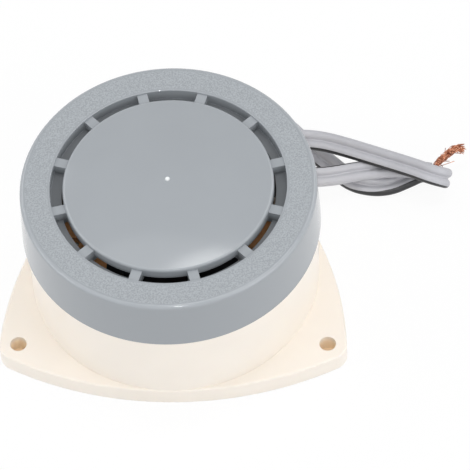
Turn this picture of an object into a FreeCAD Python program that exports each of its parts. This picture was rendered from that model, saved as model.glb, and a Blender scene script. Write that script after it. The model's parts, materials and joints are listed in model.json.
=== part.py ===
import FreeCAD, Part
import math
import os

import Sketcher
from FreeCAD import Placement, Rotation, Vector

# Mains doorbell sounder: a round case with a slotted cap on a three-cornered base.
# Origin: the axis of the case at its mounting face. +Z points away from the wall.
# The fixing holes lie at 90, 210 and 330 degrees about +Z.
doc = FreeCAD.newDocument("doorbell_sounder")

# Driving dimensions in millimetres. Counts and angles in degrees are named as such.
SIZES = {
    # Base: flange, cup and spigot
    "base_radius": 36.55,
    "base_height": 27.0,
    "base_floor": 2.4,
    "base_wall": 2.55,
    "spigot_height": 6.0,
    "spigot_gap": 0.15,
    "flange_thickness": 5.0,
    "flange_corner_radius": 4.5,
    "flange_side_reach": 0.25,
    "flange_edge_round": 0.5,
    "fixing_reach": 8.45,
    "fixing_hole_radius": 2.1,
    "corner_shift": 0.4,
    "coring_wall": 0.85,
    "coring_margin": 4.6,
    "coring_half_angle": 15.0,
    "coring_depth": 2.8,
    # Cap: one moulding with a skirt, a flat ring, a sunk ledge, spokes and a domed disc
    "cap_overhang": 0.95,
    "cap_taper": 0.55,
    "cap_wall": 2.2,
    "cap_edge_round": 1.1,
    "ring_width": 8.05,
    "ring_plate": 2.1,
    "ring_edge_round": 0.25,
    "groove_depth": 3.3,
    "groove_wall": 1.9,
    "ledge_width": 2.25,
    "ledge_plate": 2.0,
    "slot_width": 0.9,
    "side_slot_width": 0.4,
    "side_ledge_half_angle": 17.0,
    "disc_proud": 0.4,
    "disc_edge": 2.8,
    "disc_lip": 1.9,
    "disc_crown": 2.8,
    "disc_shell": 2.0,
    "disc_edge_round": 0.7,
    "spoke_count": 12,
    "spoke_width": 2.6,
    "spoke_drop": 0.5,
    "spoke_root": 1.0,
    "gate_radius": 0.5,
    "gate_height": 0.25,
    "gate_distance": 0.45,
    "cap_boss_gap": 0.3,
    "cap_boss_root": 0.8,
    # Screw positions inside the case, from the cup's bore
    "plate_boss_inset": 6.0,
    "plate_boss_radius": 3.4,
    "column_inset": 3.5,
    "column_radius": 3.7,
    "column_rise": 5.0,
    "column_clearance": 0.25,
    # Self-tapping screws; the thread's depth isn't cut, so the holes are this much larger
    "thread_gap": 0.05,
    "screw_clearance": 0.25,
    "cap_screw_radius": 1.4,
    "cap_screw_head_radius": 2.6,
    "cap_screw_head_height": 2.0,
    "cap_screw_bite": 8.6,
    "cap_pilot_spare": 0.5,
    "counterbore_radius": 2.8,
    "counterbore_depth": 2.6,
    "plate_screw_radius": 1.3,
    "plate_screw_head_radius": 2.5,
    "plate_screw_head_height": 1.8,
    "plate_screw_length": 9.0,
    # Phenolic mounting plate
    "plate_rise": 4.7,
    "plate_gap": 0.6,
    "plate_thickness": 2.0,
    "wire_hole_radius": 1.5,
    "left_wire_hole": 4.2,
    "right_wire_hole": 8.6,
    "wire_hole_clearance": 3.2,
    "spare_hole_place": 25.3,
    "spare_hole_height": 0.5,
    # Magnet frame, bent from strip
    "frame_gauge": 1.5,
    "frame_half_width": 16.5,
    "rear_post_face": 14.5,
    "rear_post_width": 14.0,
    "shelf_clearance": 11.0,
    "front_post_face": 15.0,
    "front_post_width": 9.0,
    "front_shelf_length": 5.5,
    "frame_lug_width": 8.0,
    "frame_lug_height": 8.0,
    "frame_rivet_distance": 12.5,
    "frame_rivet_radius": 1.2,
    "rivet_head_radius": 2.1,
    "rivet_head_height": 0.8,
    "rivet_gap": 0.02,
    # Laminated E core and its coil
    "core_width": 30.0,
    "core_depth": 12.0,
    "core_yoke": 5.0,
    "core_window_height": 11.0,
    "core_centre_leg": 10.0,
    "core_outer_leg": 5.0,
    "core_rivet_radius": 1.1,
    "core_rivet_head_radius": 1.9,
    "core_rivet_head_height": 0.7,
    "bobbin_gap": 0.15,
    "bobbin_wall": 1.0,
    "bobbin_clearance": 0.25,
    "bobbin_margin": 0.5,
    "coil_inset": 0.8,
    "tape_thickness": 0.3,
    "tape_gap": 0.02,
    # Armature on its reed
    "air_gap": 0.8,
    "armature_thickness": 1.6,
    "tongue_width": 6.0,
    "tongue_reach": 14.0,
    "reed_thickness": 0.4,
    "reed_width": 14.0,
    "reed_front": 2.0,
    "reed_seat_gap": 0.2,
    "reed_rivet_distance": 5.0,
    "reed_rivet_radius": 1.2,
    "reed_rivet_head_radius": 2.0,
    "reed_rivet_head_height": 0.9,
    "clamp_thickness": 1.5,
    "clamp_screw_distance": 4.0,
    "clamp_screw_radius": 1.2,
    "clamp_screw_head_radius": 2.0,
    "clamp_screw_head_height": 1.4,
    # Adjusting screw over the armature's tongue
    "adjuster_radius": 1.5,
    "adjuster_place": 12.0,
    "adjuster_gap": 0.25,
    "adjuster_rise": 1.9,
    "head_clearance": 1.4,
    "shelf_height": 1.8,
    "nut_across_flats": 5.5,
    "nut_thickness": 1.6,
    # Solder tags
    "tag_distance": 10.0,
    "tag_front_gap": 1.3,
    "tag_length": 6.5,
    "tag_width": 4.0,
    "tag_thickness": 0.5,
    "tag_rivet_inset": 4.3,
    "tag_rivet_radius": 1.0,
    "tag_rivet_head_radius": 1.6,
    "tag_rivet_head_height": 0.5,
    # Cord entry
    "entry_boss_gap": 0.18,
    "entry_clearance": 0.3,
    "grommet_neck_radius": 3.3,
    "grommet_neck_gap": 0.1,
    "grommet_flange_radius": 4.7,
    "grommet_flange": 1.2,
    "grommet_inner_gap": 0.45,
    "cord_gap": 0.1,
    "saddle_clearance": 3.5,
    "saddle_length": 5.5,
    "saddle_half_width": 6.0,
    "bar_thickness": 1.8,
    "bar_foot_gap": 0.6,
    "bar_screw_place": 4.3,
    "bar_screw_radius": 1.0,
    "bar_screw_head_radius": 1.8,
    "bar_screw_head_height": 1.2,
    "bar_screw_length": 6.5,
    # Flat twin flex; its free length is drawn as a round tube with about the same section
    "flex_width": 5.2,
    "flex_height": 2.6,
    "flex_tail": 1.0,
    "cord_radius": 1.85,
    # Wires inside the case
    "supply_core_radius": 0.9,
    "supply_core_lead": 3.8,
    "supply_core_rise": 4.0,
    "supply_core_arch": 3.0,
    "lead_radius": 0.5,
    "lead_place": 8.0,
    "lead_straight": 2.2,
    "lead_sag": 3.4,
    # Bare strands at the flex's end
    "strand_bundle_radius": 0.65,
    "strand_bundle_distance": 0.85,
}

sheet = doc.addObject("Spreadsheet::Sheet", "sizes")
for row, (alias, number) in enumerate(SIZES.items(), start=1):
    sheet.set(f"A{row}", alias)
    sheet.set(f"B{row}", str(number))
    sheet.setAlias(f"B{row}", alias)
doc.recompute()


class Size:
    """A length with the sheet formula that gives it."""

    def __init__(self, value, formula):
        self.value = value
        self.formula = formula

    def combine(self, other, sign):
        other = as_size(other)
        results = {
            "+": lambda: self.value + other.value,
            "-": lambda: self.value - other.value,
            "*": lambda: self.value * other.value,
            "/": lambda: self.value / other.value,
        }
        return Size(results[sign](), f"({self.formula} {sign} {other.formula})")

    def __add__(self, other):
        return self.combine(other, "+")

    def __sub__(self, other):
        return self.combine(other, "-")

    def __mul__(self, other):
        return self.combine(other, "*")

    def __truediv__(self, other):
        return self.combine(other, "/")

    def __neg__(self):
        return Size(-self.value, f"(0 - {self.formula})")


def as_size(number):
    return number if isinstance(number, Size) else Size(float(number), repr(float(number)))


class Sheet:
    """Gives each alias of the sheet as a Size."""

    def __getattr__(self, alias):
        return Size(float(sheet.get(alias)), f"sizes.{alias}")


s = Sheet()
ZERO = as_size(0)
FULL_TURN = 360.0
CORNER_ANGLES = (90.0, 210.0, 330.0)
COLUMN_ANGLES = (30.0, 150.0, 270.0)


def polar(radius, degrees):
    """Gives the place at a radius and an angle in degrees as two Sizes."""
    turn = math.radians(degrees)
    across = Size(radius.value * math.cos(turn), f"({radius.formula} * cos({degrees} deg))")
    along = Size(radius.value * math.sin(turn), f"({radius.formula} * sin({degrees} deg))")
    return across, along


# Radii that follow from the cup's radius
HALF = 0.5
base_bore = s.base_radius - s.base_wall
cap_radius = s.base_radius + s.cap_overhang
cap_top_radius = cap_radius - s.cap_taper
cap_bore = cap_radius - s.cap_wall
spigot_radius = cap_bore - s.spigot_gap
ring_inner = cap_radius - s.ring_width
ledge_radius = ring_inner - s.ledge_width
disc_radius = ledge_radius - s.slot_width
plate_radius = base_bore - s.plate_gap
plate_boss_circle = base_bore - s.plate_boss_inset
column_circle = base_bore - s.column_inset
fixing_circle = s.base_radius + s.fixing_reach
corner_distance = fixing_circle + s.corner_shift
side_reach = s.base_radius + s.flange_side_reach

# Levels of the cord's entry and of the stack that stands on the mounting plate
entry_level = s.flange_thickness + s.grommet_flange_radius + s.entry_clearance
flex_top = entry_level + s.flex_height * HALF
saddle_top = entry_level - s.flex_height * HALF
bar_under = saddle_top + s.bar_foot_gap
bar_top = flex_top + s.bar_thickness
plate_level = entry_level + s.plate_rise
plate_top = plate_level + s.plate_thickness
column_top = plate_level + s.column_rise
frame_top = plate_top + s.frame_gauge
core_top = frame_top + s.core_yoke + s.core_window_height
armature_under = core_top + s.air_gap
armature_top = armature_under + s.armature_thickness
reed_top = armature_top + s.reed_thickness
rear_shelf_top = armature_top - s.reed_seat_gap
clamp_under = reed_top + s.reed_seat_gap
clamp_top = clamp_under + s.clamp_thickness
front_shelf_under = armature_top + s.shelf_height
front_shelf_top = front_shelf_under + s.frame_gauge
adjuster_top = front_shelf_top + s.adjuster_rise

# Levels of the cap, which clears the adjusting screw
disc_apex = adjuster_top + s.head_clearance + s.disc_shell
disc_rim = disc_apex - s.disc_crown
disc_under = disc_rim - s.disc_edge
cap_top = disc_rim - s.disc_proud
ledge_top = cap_top - s.groove_depth
ledge_under = ledge_top - s.ledge_plate
spoke_top = cap_top - s.spoke_drop

# The bobbin's flanges reach across the core's windows
window_width = (s.core_width - s.core_centre_leg) * HALF - s.core_outer_leg
bobbin_flange = window_width - s.bobbin_gap - s.bobbin_wall - s.bobbin_clearance

# The cord comes in beside the plate's boss, so the angle follows from the saddle's width
boss_side = s.saddle_half_width + s.entry_boss_gap + s.plate_boss_radius
entry_angle = Size(
    CORNER_ANGLES[0] - math.degrees(math.asin(boss_side.value / plate_boss_circle.value)),
    f"({CORNER_ANGLES[0]} - asin({boss_side.formula} / {plate_boss_circle.formula}) / 1 deg)",
)

# Places along Y of the frame's posts, the reed's clamp and the tags, and radii of the cord's entry
rear_post_back = s.rear_post_face + s.frame_gauge
shelf_back = base_bore - s.shelf_clearance
front_post_back = s.front_post_face + s.frame_gauge
clamp_line = (rear_post_back + shelf_back) * HALF
wire_hole_line = rear_post_back + s.wire_hole_clearance
tag_front = wire_hole_line + s.tag_front_gap
tag_rivet_line = tag_front + s.tag_rivet_inset
saddle_far = base_bore - s.saddle_clearance
saddle_near = saddle_far - s.saddle_length
flex_end = saddle_near - s.flex_tail
grommet_outer = s.base_radius + s.grommet_neck_gap
cord_mouth = grommet_outer + s.grommet_flange


# Small helpers for bodies, sketches and features
def new_body(name):
    part = doc.addObject("PartDesign::Body", name)
    part.Label = name
    return part


def new_sketch(part, name, role="XY_Plane", lift=None, turn=None):
    """Adds a sketch on an origin plane, lifted along its normal and turned in its plane."""
    drawing = part.newObject("Sketcher::SketchObject", name)
    base_plane = next(item for item in part.Origin.OriginFeatures if item.Role == role)
    drawing.AttachmentSupport = [(base_plane, "")]
    drawing.MapMode = "FlatFace"
    if lift is not None:
        drawing.setExpression("AttachmentOffset.Base.z", as_size(lift).formula)
    if turn is not None:
        angle = as_size(turn)
        drawing.AttachmentOffset = Placement(Vector(), Rotation(Vector(0, 0, 1), angle.value))
        if lift is not None:
            drawing.setExpression("AttachmentOffset.Base.z", as_size(lift).formula)
        drawing.setExpression("AttachmentOffset.Rotation.Angle", f"{angle.formula} * 1 deg")
    return drawing


def tie_point(drawing, piece, end, across, along):
    """Ties a point of the sketch to two sizes measured from the sketch's origin."""
    for kind, axis, size in (("DistanceX", -2, as_size(across)), ("DistanceY", -1, as_size(along))):
        if size is ZERO or size.formula == ZERO.formula:
            drawing.addConstraint(Sketcher.Constraint("PointOnObject", piece, end, axis))
        else:
            place = drawing.addConstraint(Sketcher.Constraint(kind, -1, 1, piece, end, size.value))
            drawing.setExpression(f"Constraints[{place}]", size.formula)


def draw_outline(drawing, corners, domes=()):
    """Draws a closed outline; the sides in domes are arcs centred on the vertical axis."""
    points = [Vector(as_size(x).value, as_size(y).value, 0) for x, y in corners]
    ends = []
    for place, begin in enumerate(points):
        finish = points[(place + 1) % len(points)]
        if place in domes:
            height = (finish.y ** 2 + finish.x ** 2 - begin.y ** 2 - begin.x ** 2)
            centre = Vector(0, height / (2 * (finish.y - begin.y)), 0)
            circle = Part.Circle(centre, Vector(0, 0, 1), (begin - centre).Length)
            first = math.atan2(begin.y - centre.y, begin.x)
            last = math.atan2(finish.y - centre.y, finish.x)
            forward = (last - first) % (2 * math.pi) < math.pi
            low, high = (first, last) if forward else (last, first)
            piece = drawing.addGeometry(Part.ArcOfCircle(circle, low, high))
            drawing.addConstraint(Sketcher.Constraint("PointOnObject", piece, 3, -2))
            ends.append((piece, 1, 2) if forward else (piece, 2, 1))
        else:
            piece = drawing.addGeometry(Part.LineSegment(begin, finish))
            ends.append((piece, 1, 2))
    for place, (piece, begin, finish) in enumerate(ends):
        following, next_begin, next_finish = ends[(place + 1) % len(ends)]
        drawing.addConstraint(Sketcher.Constraint("Coincident", piece, finish, following, next_begin))
        tie_point(drawing, piece, begin, *corners[place])


def draw_box(drawing, left, right, low, high):
    draw_outline(drawing, [(left, low), (right, low), (right, high), (left, high)])


def draw_circle(drawing, across, along, radius):
    piece = drawing.addGeometry(
        Part.Circle(Vector(as_size(across).value, as_size(along).value, 0), Vector(0, 0, 1), radius.value)
    )
    tie_point(drawing, piece, 3, across, along)
    place = drawing.addConstraint(Sketcher.Constraint("Radius", piece, radius.value))
    drawing.setExpression(f"Constraints[{place}]", radius.formula)


def draw_slot(drawing, level, width, height):
    """Draws a slot with round ends, centred on the vertical axis and lying across it."""
    radius = height * HALF
    reach = (width - height) * HALF
    level = as_size(level)
    arcs = []
    for side in (-reach, reach):
        circle = Part.Circle(Vector(side.value, level.value, 0), Vector(0, 0, 1), radius.value)
        facing = 0 if side.value > 0 else math.pi
        arc = drawing.addGeometry(Part.ArcOfCircle(circle, facing - math.pi / 2, facing + math.pi / 2))
        tie_point(drawing, arc, 3, side, level)
        arcs.append(arc)
    left, right = arcs
    for first, last, first_end, last_end in ((left, right, 2, 1), (right, left, 2, 1)):
        ends = [drawing.getPoint(first, first_end), drawing.getPoint(last, last_end)]
        line = drawing.addGeometry(Part.LineSegment(*ends))
        drawing.addConstraint(Sketcher.Constraint("Tangent", first, first_end, line, 1))
        drawing.addConstraint(Sketcher.Constraint("Tangent", line, 2, last, last_end))
    place = drawing.addConstraint(Sketcher.Constraint("Radius", left, radius.value))
    drawing.setExpression(f"Constraints[{place}]", radius.formula)


def draw_sector(drawing, inner, outer, half_angle):
    """Draws a ring sector that lies evenly about the Y axis."""
    low = math.pi / 2 - math.radians(half_angle.value)
    high = math.pi / 2 + math.radians(half_angle.value)
    arcs = []
    for radius in (inner, outer):
        circle = Part.Circle(Vector(), Vector(0, 0, 1), radius.value)
        arc = drawing.addGeometry(Part.ArcOfCircle(circle, low, high))
        drawing.addConstraint(Sketcher.Constraint("Coincident", arc, 3, -1, 1))
        for end, sign in ((1, 1), (2, -1)):
            across = Size(
                sign * radius.value * math.sin(math.radians(half_angle.value)),
                f"({sign} * {radius.formula} * sin({half_angle.formula} * 1 deg))",
            )
            along = Size(
                radius.value * math.cos(math.radians(half_angle.value)),
                f"({radius.formula} * cos({half_angle.formula} * 1 deg))",
            )
            if end == 1:
                tie_point(drawing, arc, end, across, along)
            else:
                place = drawing.addConstraint(
                    Sketcher.Constraint("DistanceX", -1, 1, arc, end, across.value))
                drawing.setExpression(f"Constraints[{place}]", across.formula)
        arcs.append(arc)
    for end in (1, 2):
        points = [drawing.getPoint(arc, end) for arc in arcs]
        line = drawing.addGeometry(Part.LineSegment(points[0], points[1]))
        drawing.addConstraint(Sketcher.Constraint("Coincident", line, 1, arcs[0], end))
        drawing.addConstraint(Sketcher.Constraint("Coincident", line, 2, arcs[1], end))


def pad(part, drawing, length, both_sides=False):
    feature = part.newObject("PartDesign::Pad", drawing.Name + "_pad")
    feature.Profile = drawing
    feature.setExpression("Length", length.formula)
    feature.Midplane = both_sides
    doc.recompute()
    return feature


def pocket(part, drawing, length, forward=False, both_sides=False):
    """Cuts against the sketch's normal, or along it where forward is set."""
    before = part.Tip.Shape.Volume
    feature = part.newObject("PartDesign::Pocket", drawing.Name + "_pocket")
    feature.Profile = drawing
    feature.setExpression("Length", length.formula)
    feature.Reversed = forward
    feature.Midplane = both_sides
    doc.recompute()
    if not feature.Shape.Volume < before - 1e-3:
        raise RuntimeError(f"{feature.Name} cuts nothing")
    return feature


def revolve(part, drawing):
    feature = part.newObject("PartDesign::Revolution", drawing.Name + "_turn")
    feature.Profile = drawing
    feature.ReferenceAxis = (drawing, ["V_Axis"])
    feature.Angle = FULL_TURN
    doc.recompute()
    return feature


def repeat_round(part, features, count):
    """Repeats features about the Z axis, evenly over a full turn."""
    pattern = part.newObject("PartDesign::PolarPattern", features[0].Name + "_round")
    pattern.Originals = features
    z_axis = next(item for item in part.Origin.OriginFeatures if item.Role == "Z_Axis")
    pattern.Axis = (z_axis, [""])
    pattern.Angle = FULL_TURN
    pattern.setExpression("Occurrences", as_size(count).formula)
    part.Tip = pattern
    doc.recompute()
    return pattern


def round_edges(part, edges, radius):
    base = part.Tip
    feature = part.newObject("PartDesign::Fillet", base.Name + "_round")
    feature.Base = (base, edges)
    feature.setExpression("Radius", radius.formula)
    part.Tip = feature
    doc.recompute()
    return feature


def circle_edges(part, radius, level):
    """Names the circular edges about the Z axis with this radius and level."""
    names = []
    for place, edge in enumerate(part.Tip.Shape.Edges, start=1):
        if edge.Degenerated or not isinstance(edge.Curve, Part.Circle):
            continue
        curve = edge.Curve
        centred = math.hypot(curve.Center.x, curve.Center.y) < 1e-4
        if centred and abs(curve.Radius - radius.value) < 1e-3 and abs(curve.Center.z - level.value) < 1e-3:
            names.append(f"Edge{place}")
    return names


def level_edges(part, level):
    """Names the edges whose ends all lie at this level."""
    return [
        f"Edge{place}"
        for place, edge in enumerate(part.Tip.Shape.Edges, start=1)
        if all(abs(vertex.Z - level.value) < 1e-3 for vertex in edge.Vertexes)
    ]


def cylinder(name, radius, height, base):
    solid = doc.addObject("Part::Cylinder", name)
    solid.setExpression("Radius", radius.formula)
    solid.setExpression("Height", height.formula)
    for axis, size in zip("xyz", base):
        solid.setExpression(f"Placement.Base.{axis}", as_size(size).formula)
    return solid


def headed_group(name, places, shank_radius, shank, head_radius, head):
    """Joins a shank and a head at each place; shank and head are (low level, height)."""
    pieces = []
    for number, (across, along) in enumerate(places, start=1):
        stem = cylinder(f"{name}_shank{number}", shank_radius, shank[1], (across, along, shank[0]))
        cover = cylinder(f"{name}_head{number}", head_radius, head[1], (across, along, head[0]))
        fused = doc.addObject("Part::Fuse", f"{name}_{number}")
        fused.Base = stem
        fused.Tool = cover
        pieces.append(fused)
    group = doc.addObject("Part::Compound", name)
    group.Label = name
    group.Links = pieces
    return group


nodes = []


# Base housing: flange with cored corners, cup, spigot, bosses and cord entry
def flange_outline(drawing):
    """Draws three corner arcs joined by three side arcs, all tangent."""
    corner = s.flange_corner_radius
    distance = corner_distance
    middle = distance * HALF - side_reach
    side = (distance * distance * 0.75 + middle * middle - corner * corner) / (
        side_reach * 2 - distance - corner * 2
    )
    half_span = distance.value * math.cos(math.radians(30))
    set_back = side.value - side_reach.value
    half_turn = math.atan2(half_span, set_back + distance.value / 2)
    opening = math.pi / 3 - half_turn
    corners = []
    sides = []
    for angle in CORNER_ANGLES:
        facing = math.radians(angle)
        centre = Vector(distance.value * math.cos(facing), distance.value * math.sin(facing), 0)
        corners.append(drawing.addGeometry(Part.ArcOfCircle(
            Part.Circle(centre, Vector(0, 0, 1), corner.value), facing - opening, facing + opening)))
        across = facing + math.pi / 3
        far = Vector(-set_back * math.cos(across), -set_back * math.sin(across), 0)
        sides.append(drawing.addGeometry(Part.ArcOfCircle(
            Part.Circle(far, Vector(0, 0, 1), side.value), across - half_turn, across + half_turn)))
    for place, angle in enumerate(CORNER_ANGLES):
        tie_point(drawing, corners[place], 3, *polar(distance, angle))
        following = corners[(place + 1) % len(corners)]
        drawing.addConstraint(Sketcher.Constraint("Tangent", corners[place], 2, sides[place], 1))
        drawing.addConstraint(Sketcher.Constraint("Tangent", sides[place], 2, following, 1))
        for piece, radius in ((corners[place], corner), (sides[place], side)):
            number = drawing.addConstraint(Sketcher.Constraint("Radius", piece, radius.value))
            drawing.setExpression(f"Constraints[{number}]", radius.formula)


def make_base_housing():
    base = new_body("base_housing")
    plan = new_sketch(base, "flange_plan")
    flange_outline(plan)
    pad(base, plan, s.flange_thickness)
    round_edges(base, level_edges(base, s.flange_thickness), s.flange_edge_round)

    cup = new_sketch(base, "cup_section", "XZ_Plane")
    spigot_top = s.base_height + s.spigot_height
    draw_outline(cup, [
        (ZERO, ZERO),
        (s.base_radius, ZERO),
        (s.base_radius, s.base_height),
        (spigot_radius, s.base_height),
        (spigot_radius, spigot_top),
        (base_bore, spigot_top),
        (base_bore, s.base_floor),
        (ZERO, s.base_floor),
    ])
    revolve(base, cup)

    boss = new_sketch(base, "plate_boss", lift=s.base_floor)
    draw_circle(boss, ZERO, plate_boss_circle, s.plate_boss_radius)
    repeat_round(base, [pad(base, boss, plate_level - s.base_floor)], 3)
    pilot = new_sketch(base, "plate_pilot", lift=plate_level)
    draw_circle(pilot, ZERO, plate_boss_circle, s.plate_screw_radius + s.thread_gap)
    repeat_round(base, [pocket(base, pilot, s.plate_screw_length)], 3)

    column = new_sketch(base, "cap_column", lift=s.base_floor)
    draw_circle(column, ZERO, -column_circle, s.column_radius)
    repeat_round(base, [pad(base, column, column_top - s.base_floor)], 3)
    passage = new_sketch(base, "cap_screw_passage")
    draw_circle(passage, ZERO, -column_circle, s.cap_screw_radius + s.screw_clearance)
    repeat_round(base, [pocket(base, passage, column_top, forward=True)], 3)
    recess = new_sketch(base, "cap_screw_recess")
    draw_circle(recess, ZERO, -column_circle, s.counterbore_radius)
    repeat_round(base, [pocket(base, recess, s.counterbore_depth, forward=True)], 3)

    fixing = new_sketch(base, "fixing_hole")
    draw_circle(fixing, ZERO, fixing_circle, s.fixing_hole_radius)
    repeat_round(base, [pocket(base, fixing, s.flange_thickness, forward=True)], 3)
    coring = new_sketch(base, "corner_coring")
    coring_inner = s.base_radius + s.coring_wall
    draw_sector(coring, coring_inner, fixing_circle - s.coring_margin, s.coring_half_angle)
    repeat_round(base, [pocket(base, coring, s.coring_depth, forward=True)], 3)

    entry = new_sketch(base, "cord_entry", "YZ_Plane")
    entry.AttachmentOffset = Placement(Vector(), Rotation(Vector(0, 1, 0), entry_angle.value))
    entry.setExpression("AttachmentOffset.Rotation.Angle", f"{entry_angle.formula} * 1 deg")
    draw_circle(entry, ZERO, entry_level, s.grommet_neck_radius + s.grommet_neck_gap)
    pocket(base, entry, s.base_radius + s.base_wall, forward=True)

    saddle = new_sketch(base, "cord_saddle", lift=s.base_floor, turn=entry_angle)
    draw_box(saddle, saddle_near, saddle_far, -s.saddle_half_width, s.saddle_half_width)
    pad(base, saddle, saddle_top - s.base_floor)
    bar_pilot = new_sketch(base, "saddle_pilot", lift=saddle_top, turn=entry_angle)
    middle = (saddle_near + saddle_far) * HALF
    for side in (-s.bar_screw_place, s.bar_screw_place):
        draw_circle(bar_pilot, middle, side, s.bar_screw_radius + s.thread_gap)
    pocket(base, bar_pilot, s.bar_screw_length - s.bar_thickness)
    nodes.append(base)


# Cap: skirt, ring, sunk ledge, raised disc and spokes as one moulding
def make_cap():
    cap = new_body("cap")
    groove_back = ring_inner + s.groove_wall
    shell = new_sketch(cap, "cap_section", "XZ_Plane")
    draw_outline(shell, [
        (cap_radius, s.base_height),
        (cap_top_radius, cap_top),
        (ring_inner, cap_top),
        (ring_inner, ledge_top),
        (ledge_radius, ledge_top),
        (ledge_radius, ledge_under),
        (groove_back, ledge_under),
        (groove_back, cap_top - s.ring_plate),
        (cap_bore, cap_top - s.ring_plate),
        (cap_bore, s.base_height),
    ])
    revolve(cap, shell)
    round_edges(cap, circle_edges(cap, cap_top_radius, cap_top), s.cap_edge_round)
    round_edges(cap, circle_edges(cap, ring_inner, cap_top), s.ring_edge_round)

    side = new_sketch(cap, "side_ledge", lift=ledge_under, turn=as_size(90))
    side_inner = disc_radius + s.side_slot_width
    draw_sector(side, side_inner, ledge_radius + s.ledge_width * HALF, s.side_ledge_half_angle)
    repeat_round(cap, [pad(cap, side, s.ledge_plate)], 2)

    spoke_low = ledge_top - s.spoke_root
    spoke = new_sketch(cap, "spoke", lift=spoke_low, turn=as_size(180) / s.spoke_count)
    draw_box(
        spoke,
        disc_radius - s.disc_lip * HALF,
        ring_inner + s.groove_wall * HALF,
        -s.spoke_width * HALF,
        s.spoke_width * HALF,
    )
    spokes = pad(cap, spoke, spoke_top - spoke_low)
    repeat_round(cap, [spokes], s.spoke_count)

    disc = new_sketch(cap, "disc_section", "XZ_Plane")
    draw_outline(disc, [
        (ZERO, disc_apex),
        (disc_radius, disc_rim),
        (disc_radius, disc_under),
        (disc_radius - s.disc_lip, disc_under),
        (disc_radius - s.disc_lip, disc_rim - s.disc_shell),
        (ZERO, disc_apex - s.disc_shell),
    ], domes=(0, 4))
    revolve(cap, disc)
    round_edges(cap, circle_edges(cap, disc_radius, disc_rim), s.disc_edge_round)

    gate = new_sketch(cap, "gate_mark", lift=disc_apex - s.gate_height)
    draw_circle(gate, ZERO, -s.gate_distance, s.gate_radius)
    pad(cap, gate, s.gate_height + s.gate_height)

    boss = new_sketch(cap, "cap_boss", lift=column_top)
    draw_circle(boss, ZERO, -column_circle, s.column_inset - s.cap_boss_gap)
    repeat_round(cap, [pad(cap, boss, ledge_under + s.cap_boss_root - column_top)], 3)
    pilot = new_sketch(cap, "cap_pilot", lift=column_top)
    draw_circle(pilot, ZERO, -column_circle, s.cap_screw_radius + s.thread_gap)
    repeat_round(cap, [pocket(cap, pilot, s.cap_screw_bite + s.cap_pilot_spare, forward=True)], 3)
    nodes.append(cap)


# Phenolic plate that carries the magnet
def make_mounting_plate():
    plate = new_body("mounting_plate")
    blank = new_sketch(plate, "plate_blank", lift=plate_level)
    draw_circle(blank, ZERO, ZERO, plate_radius)
    pad(plate, blank, s.plate_thickness)
    notch = new_sketch(plate, "column_notch", lift=plate_top)
    draw_circle(notch, ZERO, -column_circle, s.column_radius + s.column_clearance)
    repeat_round(plate, [pocket(plate, notch, s.plate_thickness)], 3)
    screw_hole = new_sketch(plate, "plate_screw_hole", lift=plate_top)
    draw_circle(screw_hole, ZERO, plate_boss_circle, s.plate_screw_radius + s.screw_clearance)
    repeat_round(plate, [pocket(plate, screw_hole, s.plate_thickness)], 3)
    holes = new_sketch(plate, "plate_holes", lift=plate_top)
    for across, along in frame_rivet_places():
        draw_circle(holes, across, along, s.frame_rivet_radius + s.rivet_gap)
    for side in (-s.tag_distance, s.tag_distance):
        draw_circle(holes, side, tag_rivet_line, s.tag_rivet_radius + s.rivet_gap)
    wire_holes = [
        (s.left_wire_hole, wire_hole_line),
        (s.right_wire_hole, wire_hole_line),
        (-s.spare_hole_place, s.spare_hole_height),
    ]
    for across, along in wire_holes:
        draw_circle(holes, across, along, s.wire_hole_radius)
    pocket(plate, holes, s.plate_thickness)
    nodes.append(plate)


def frame_rivet_places():
    offset = s.frame_rivet_distance
    return [(x, y) for x in (-offset, offset) for y in (-offset, offset)]


# Magnet frame: base strip with a rear post for the reed and a front post for the adjuster
def make_magnet_frame():
    frame = new_body("magnet_frame")
    half = s.frame_half_width
    strip = new_sketch(frame, "frame_strip", lift=plate_top)
    draw_box(strip, -half, half, -front_post_back, rear_post_back)
    pad(frame, strip, s.frame_gauge)
    rear = new_sketch(frame, "rear_post", "YZ_Plane")
    rear_shelf_under = rear_shelf_top - s.frame_gauge
    draw_outline(rear, [
        (s.rear_post_face, plate_top),
        (rear_post_back, plate_top),
        (rear_post_back, rear_shelf_under),
        (shelf_back, rear_shelf_under),
        (shelf_back, rear_shelf_top),
        (s.rear_post_face, rear_shelf_top),
    ])
    pad(frame, rear, s.rear_post_width, both_sides=True)
    front = new_sketch(frame, "front_post", "YZ_Plane")
    shelf_end = s.front_shelf_length - s.front_post_face
    draw_outline(front, [
        (-front_post_back, plate_top),
        (-s.front_post_face, plate_top),
        (-s.front_post_face, front_shelf_under),
        (shelf_end, front_shelf_under),
        (shelf_end, front_shelf_top),
        (-front_post_back, front_shelf_top),
    ])
    pad(frame, front, s.front_post_width, both_sides=True)
    lug = new_sketch(frame, "core_lug", lift=plate_top)
    half_lug = s.frame_lug_width * HALF
    draw_box(lug, s.core_width * HALF, half, -half_lug, half_lug)
    repeat_round(frame, [pad(frame, lug, s.frame_lug_height)], 2)
    rivets = new_sketch(frame, "frame_rivet_holes", lift=frame_top)
    for across, along in frame_rivet_places():
        draw_circle(rivets, across, along, s.frame_rivet_radius + s.rivet_gap)
    pocket(frame, rivets, s.frame_gauge)
    clamp_holes = new_sketch(frame, "clamp_holes", lift=rear_shelf_top)
    for side in (-s.clamp_screw_distance, s.clamp_screw_distance):
        draw_circle(clamp_holes, side, clamp_line, s.clamp_screw_radius + s.thread_gap)
    pocket(frame, clamp_holes, s.frame_gauge)
    tapped = new_sketch(frame, "adjuster_hole", lift=front_shelf_top)
    draw_circle(tapped, ZERO, -s.adjuster_place, s.adjuster_radius + s.thread_gap)
    pocket(frame, tapped, s.frame_gauge)
    nodes.append(frame)


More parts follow.
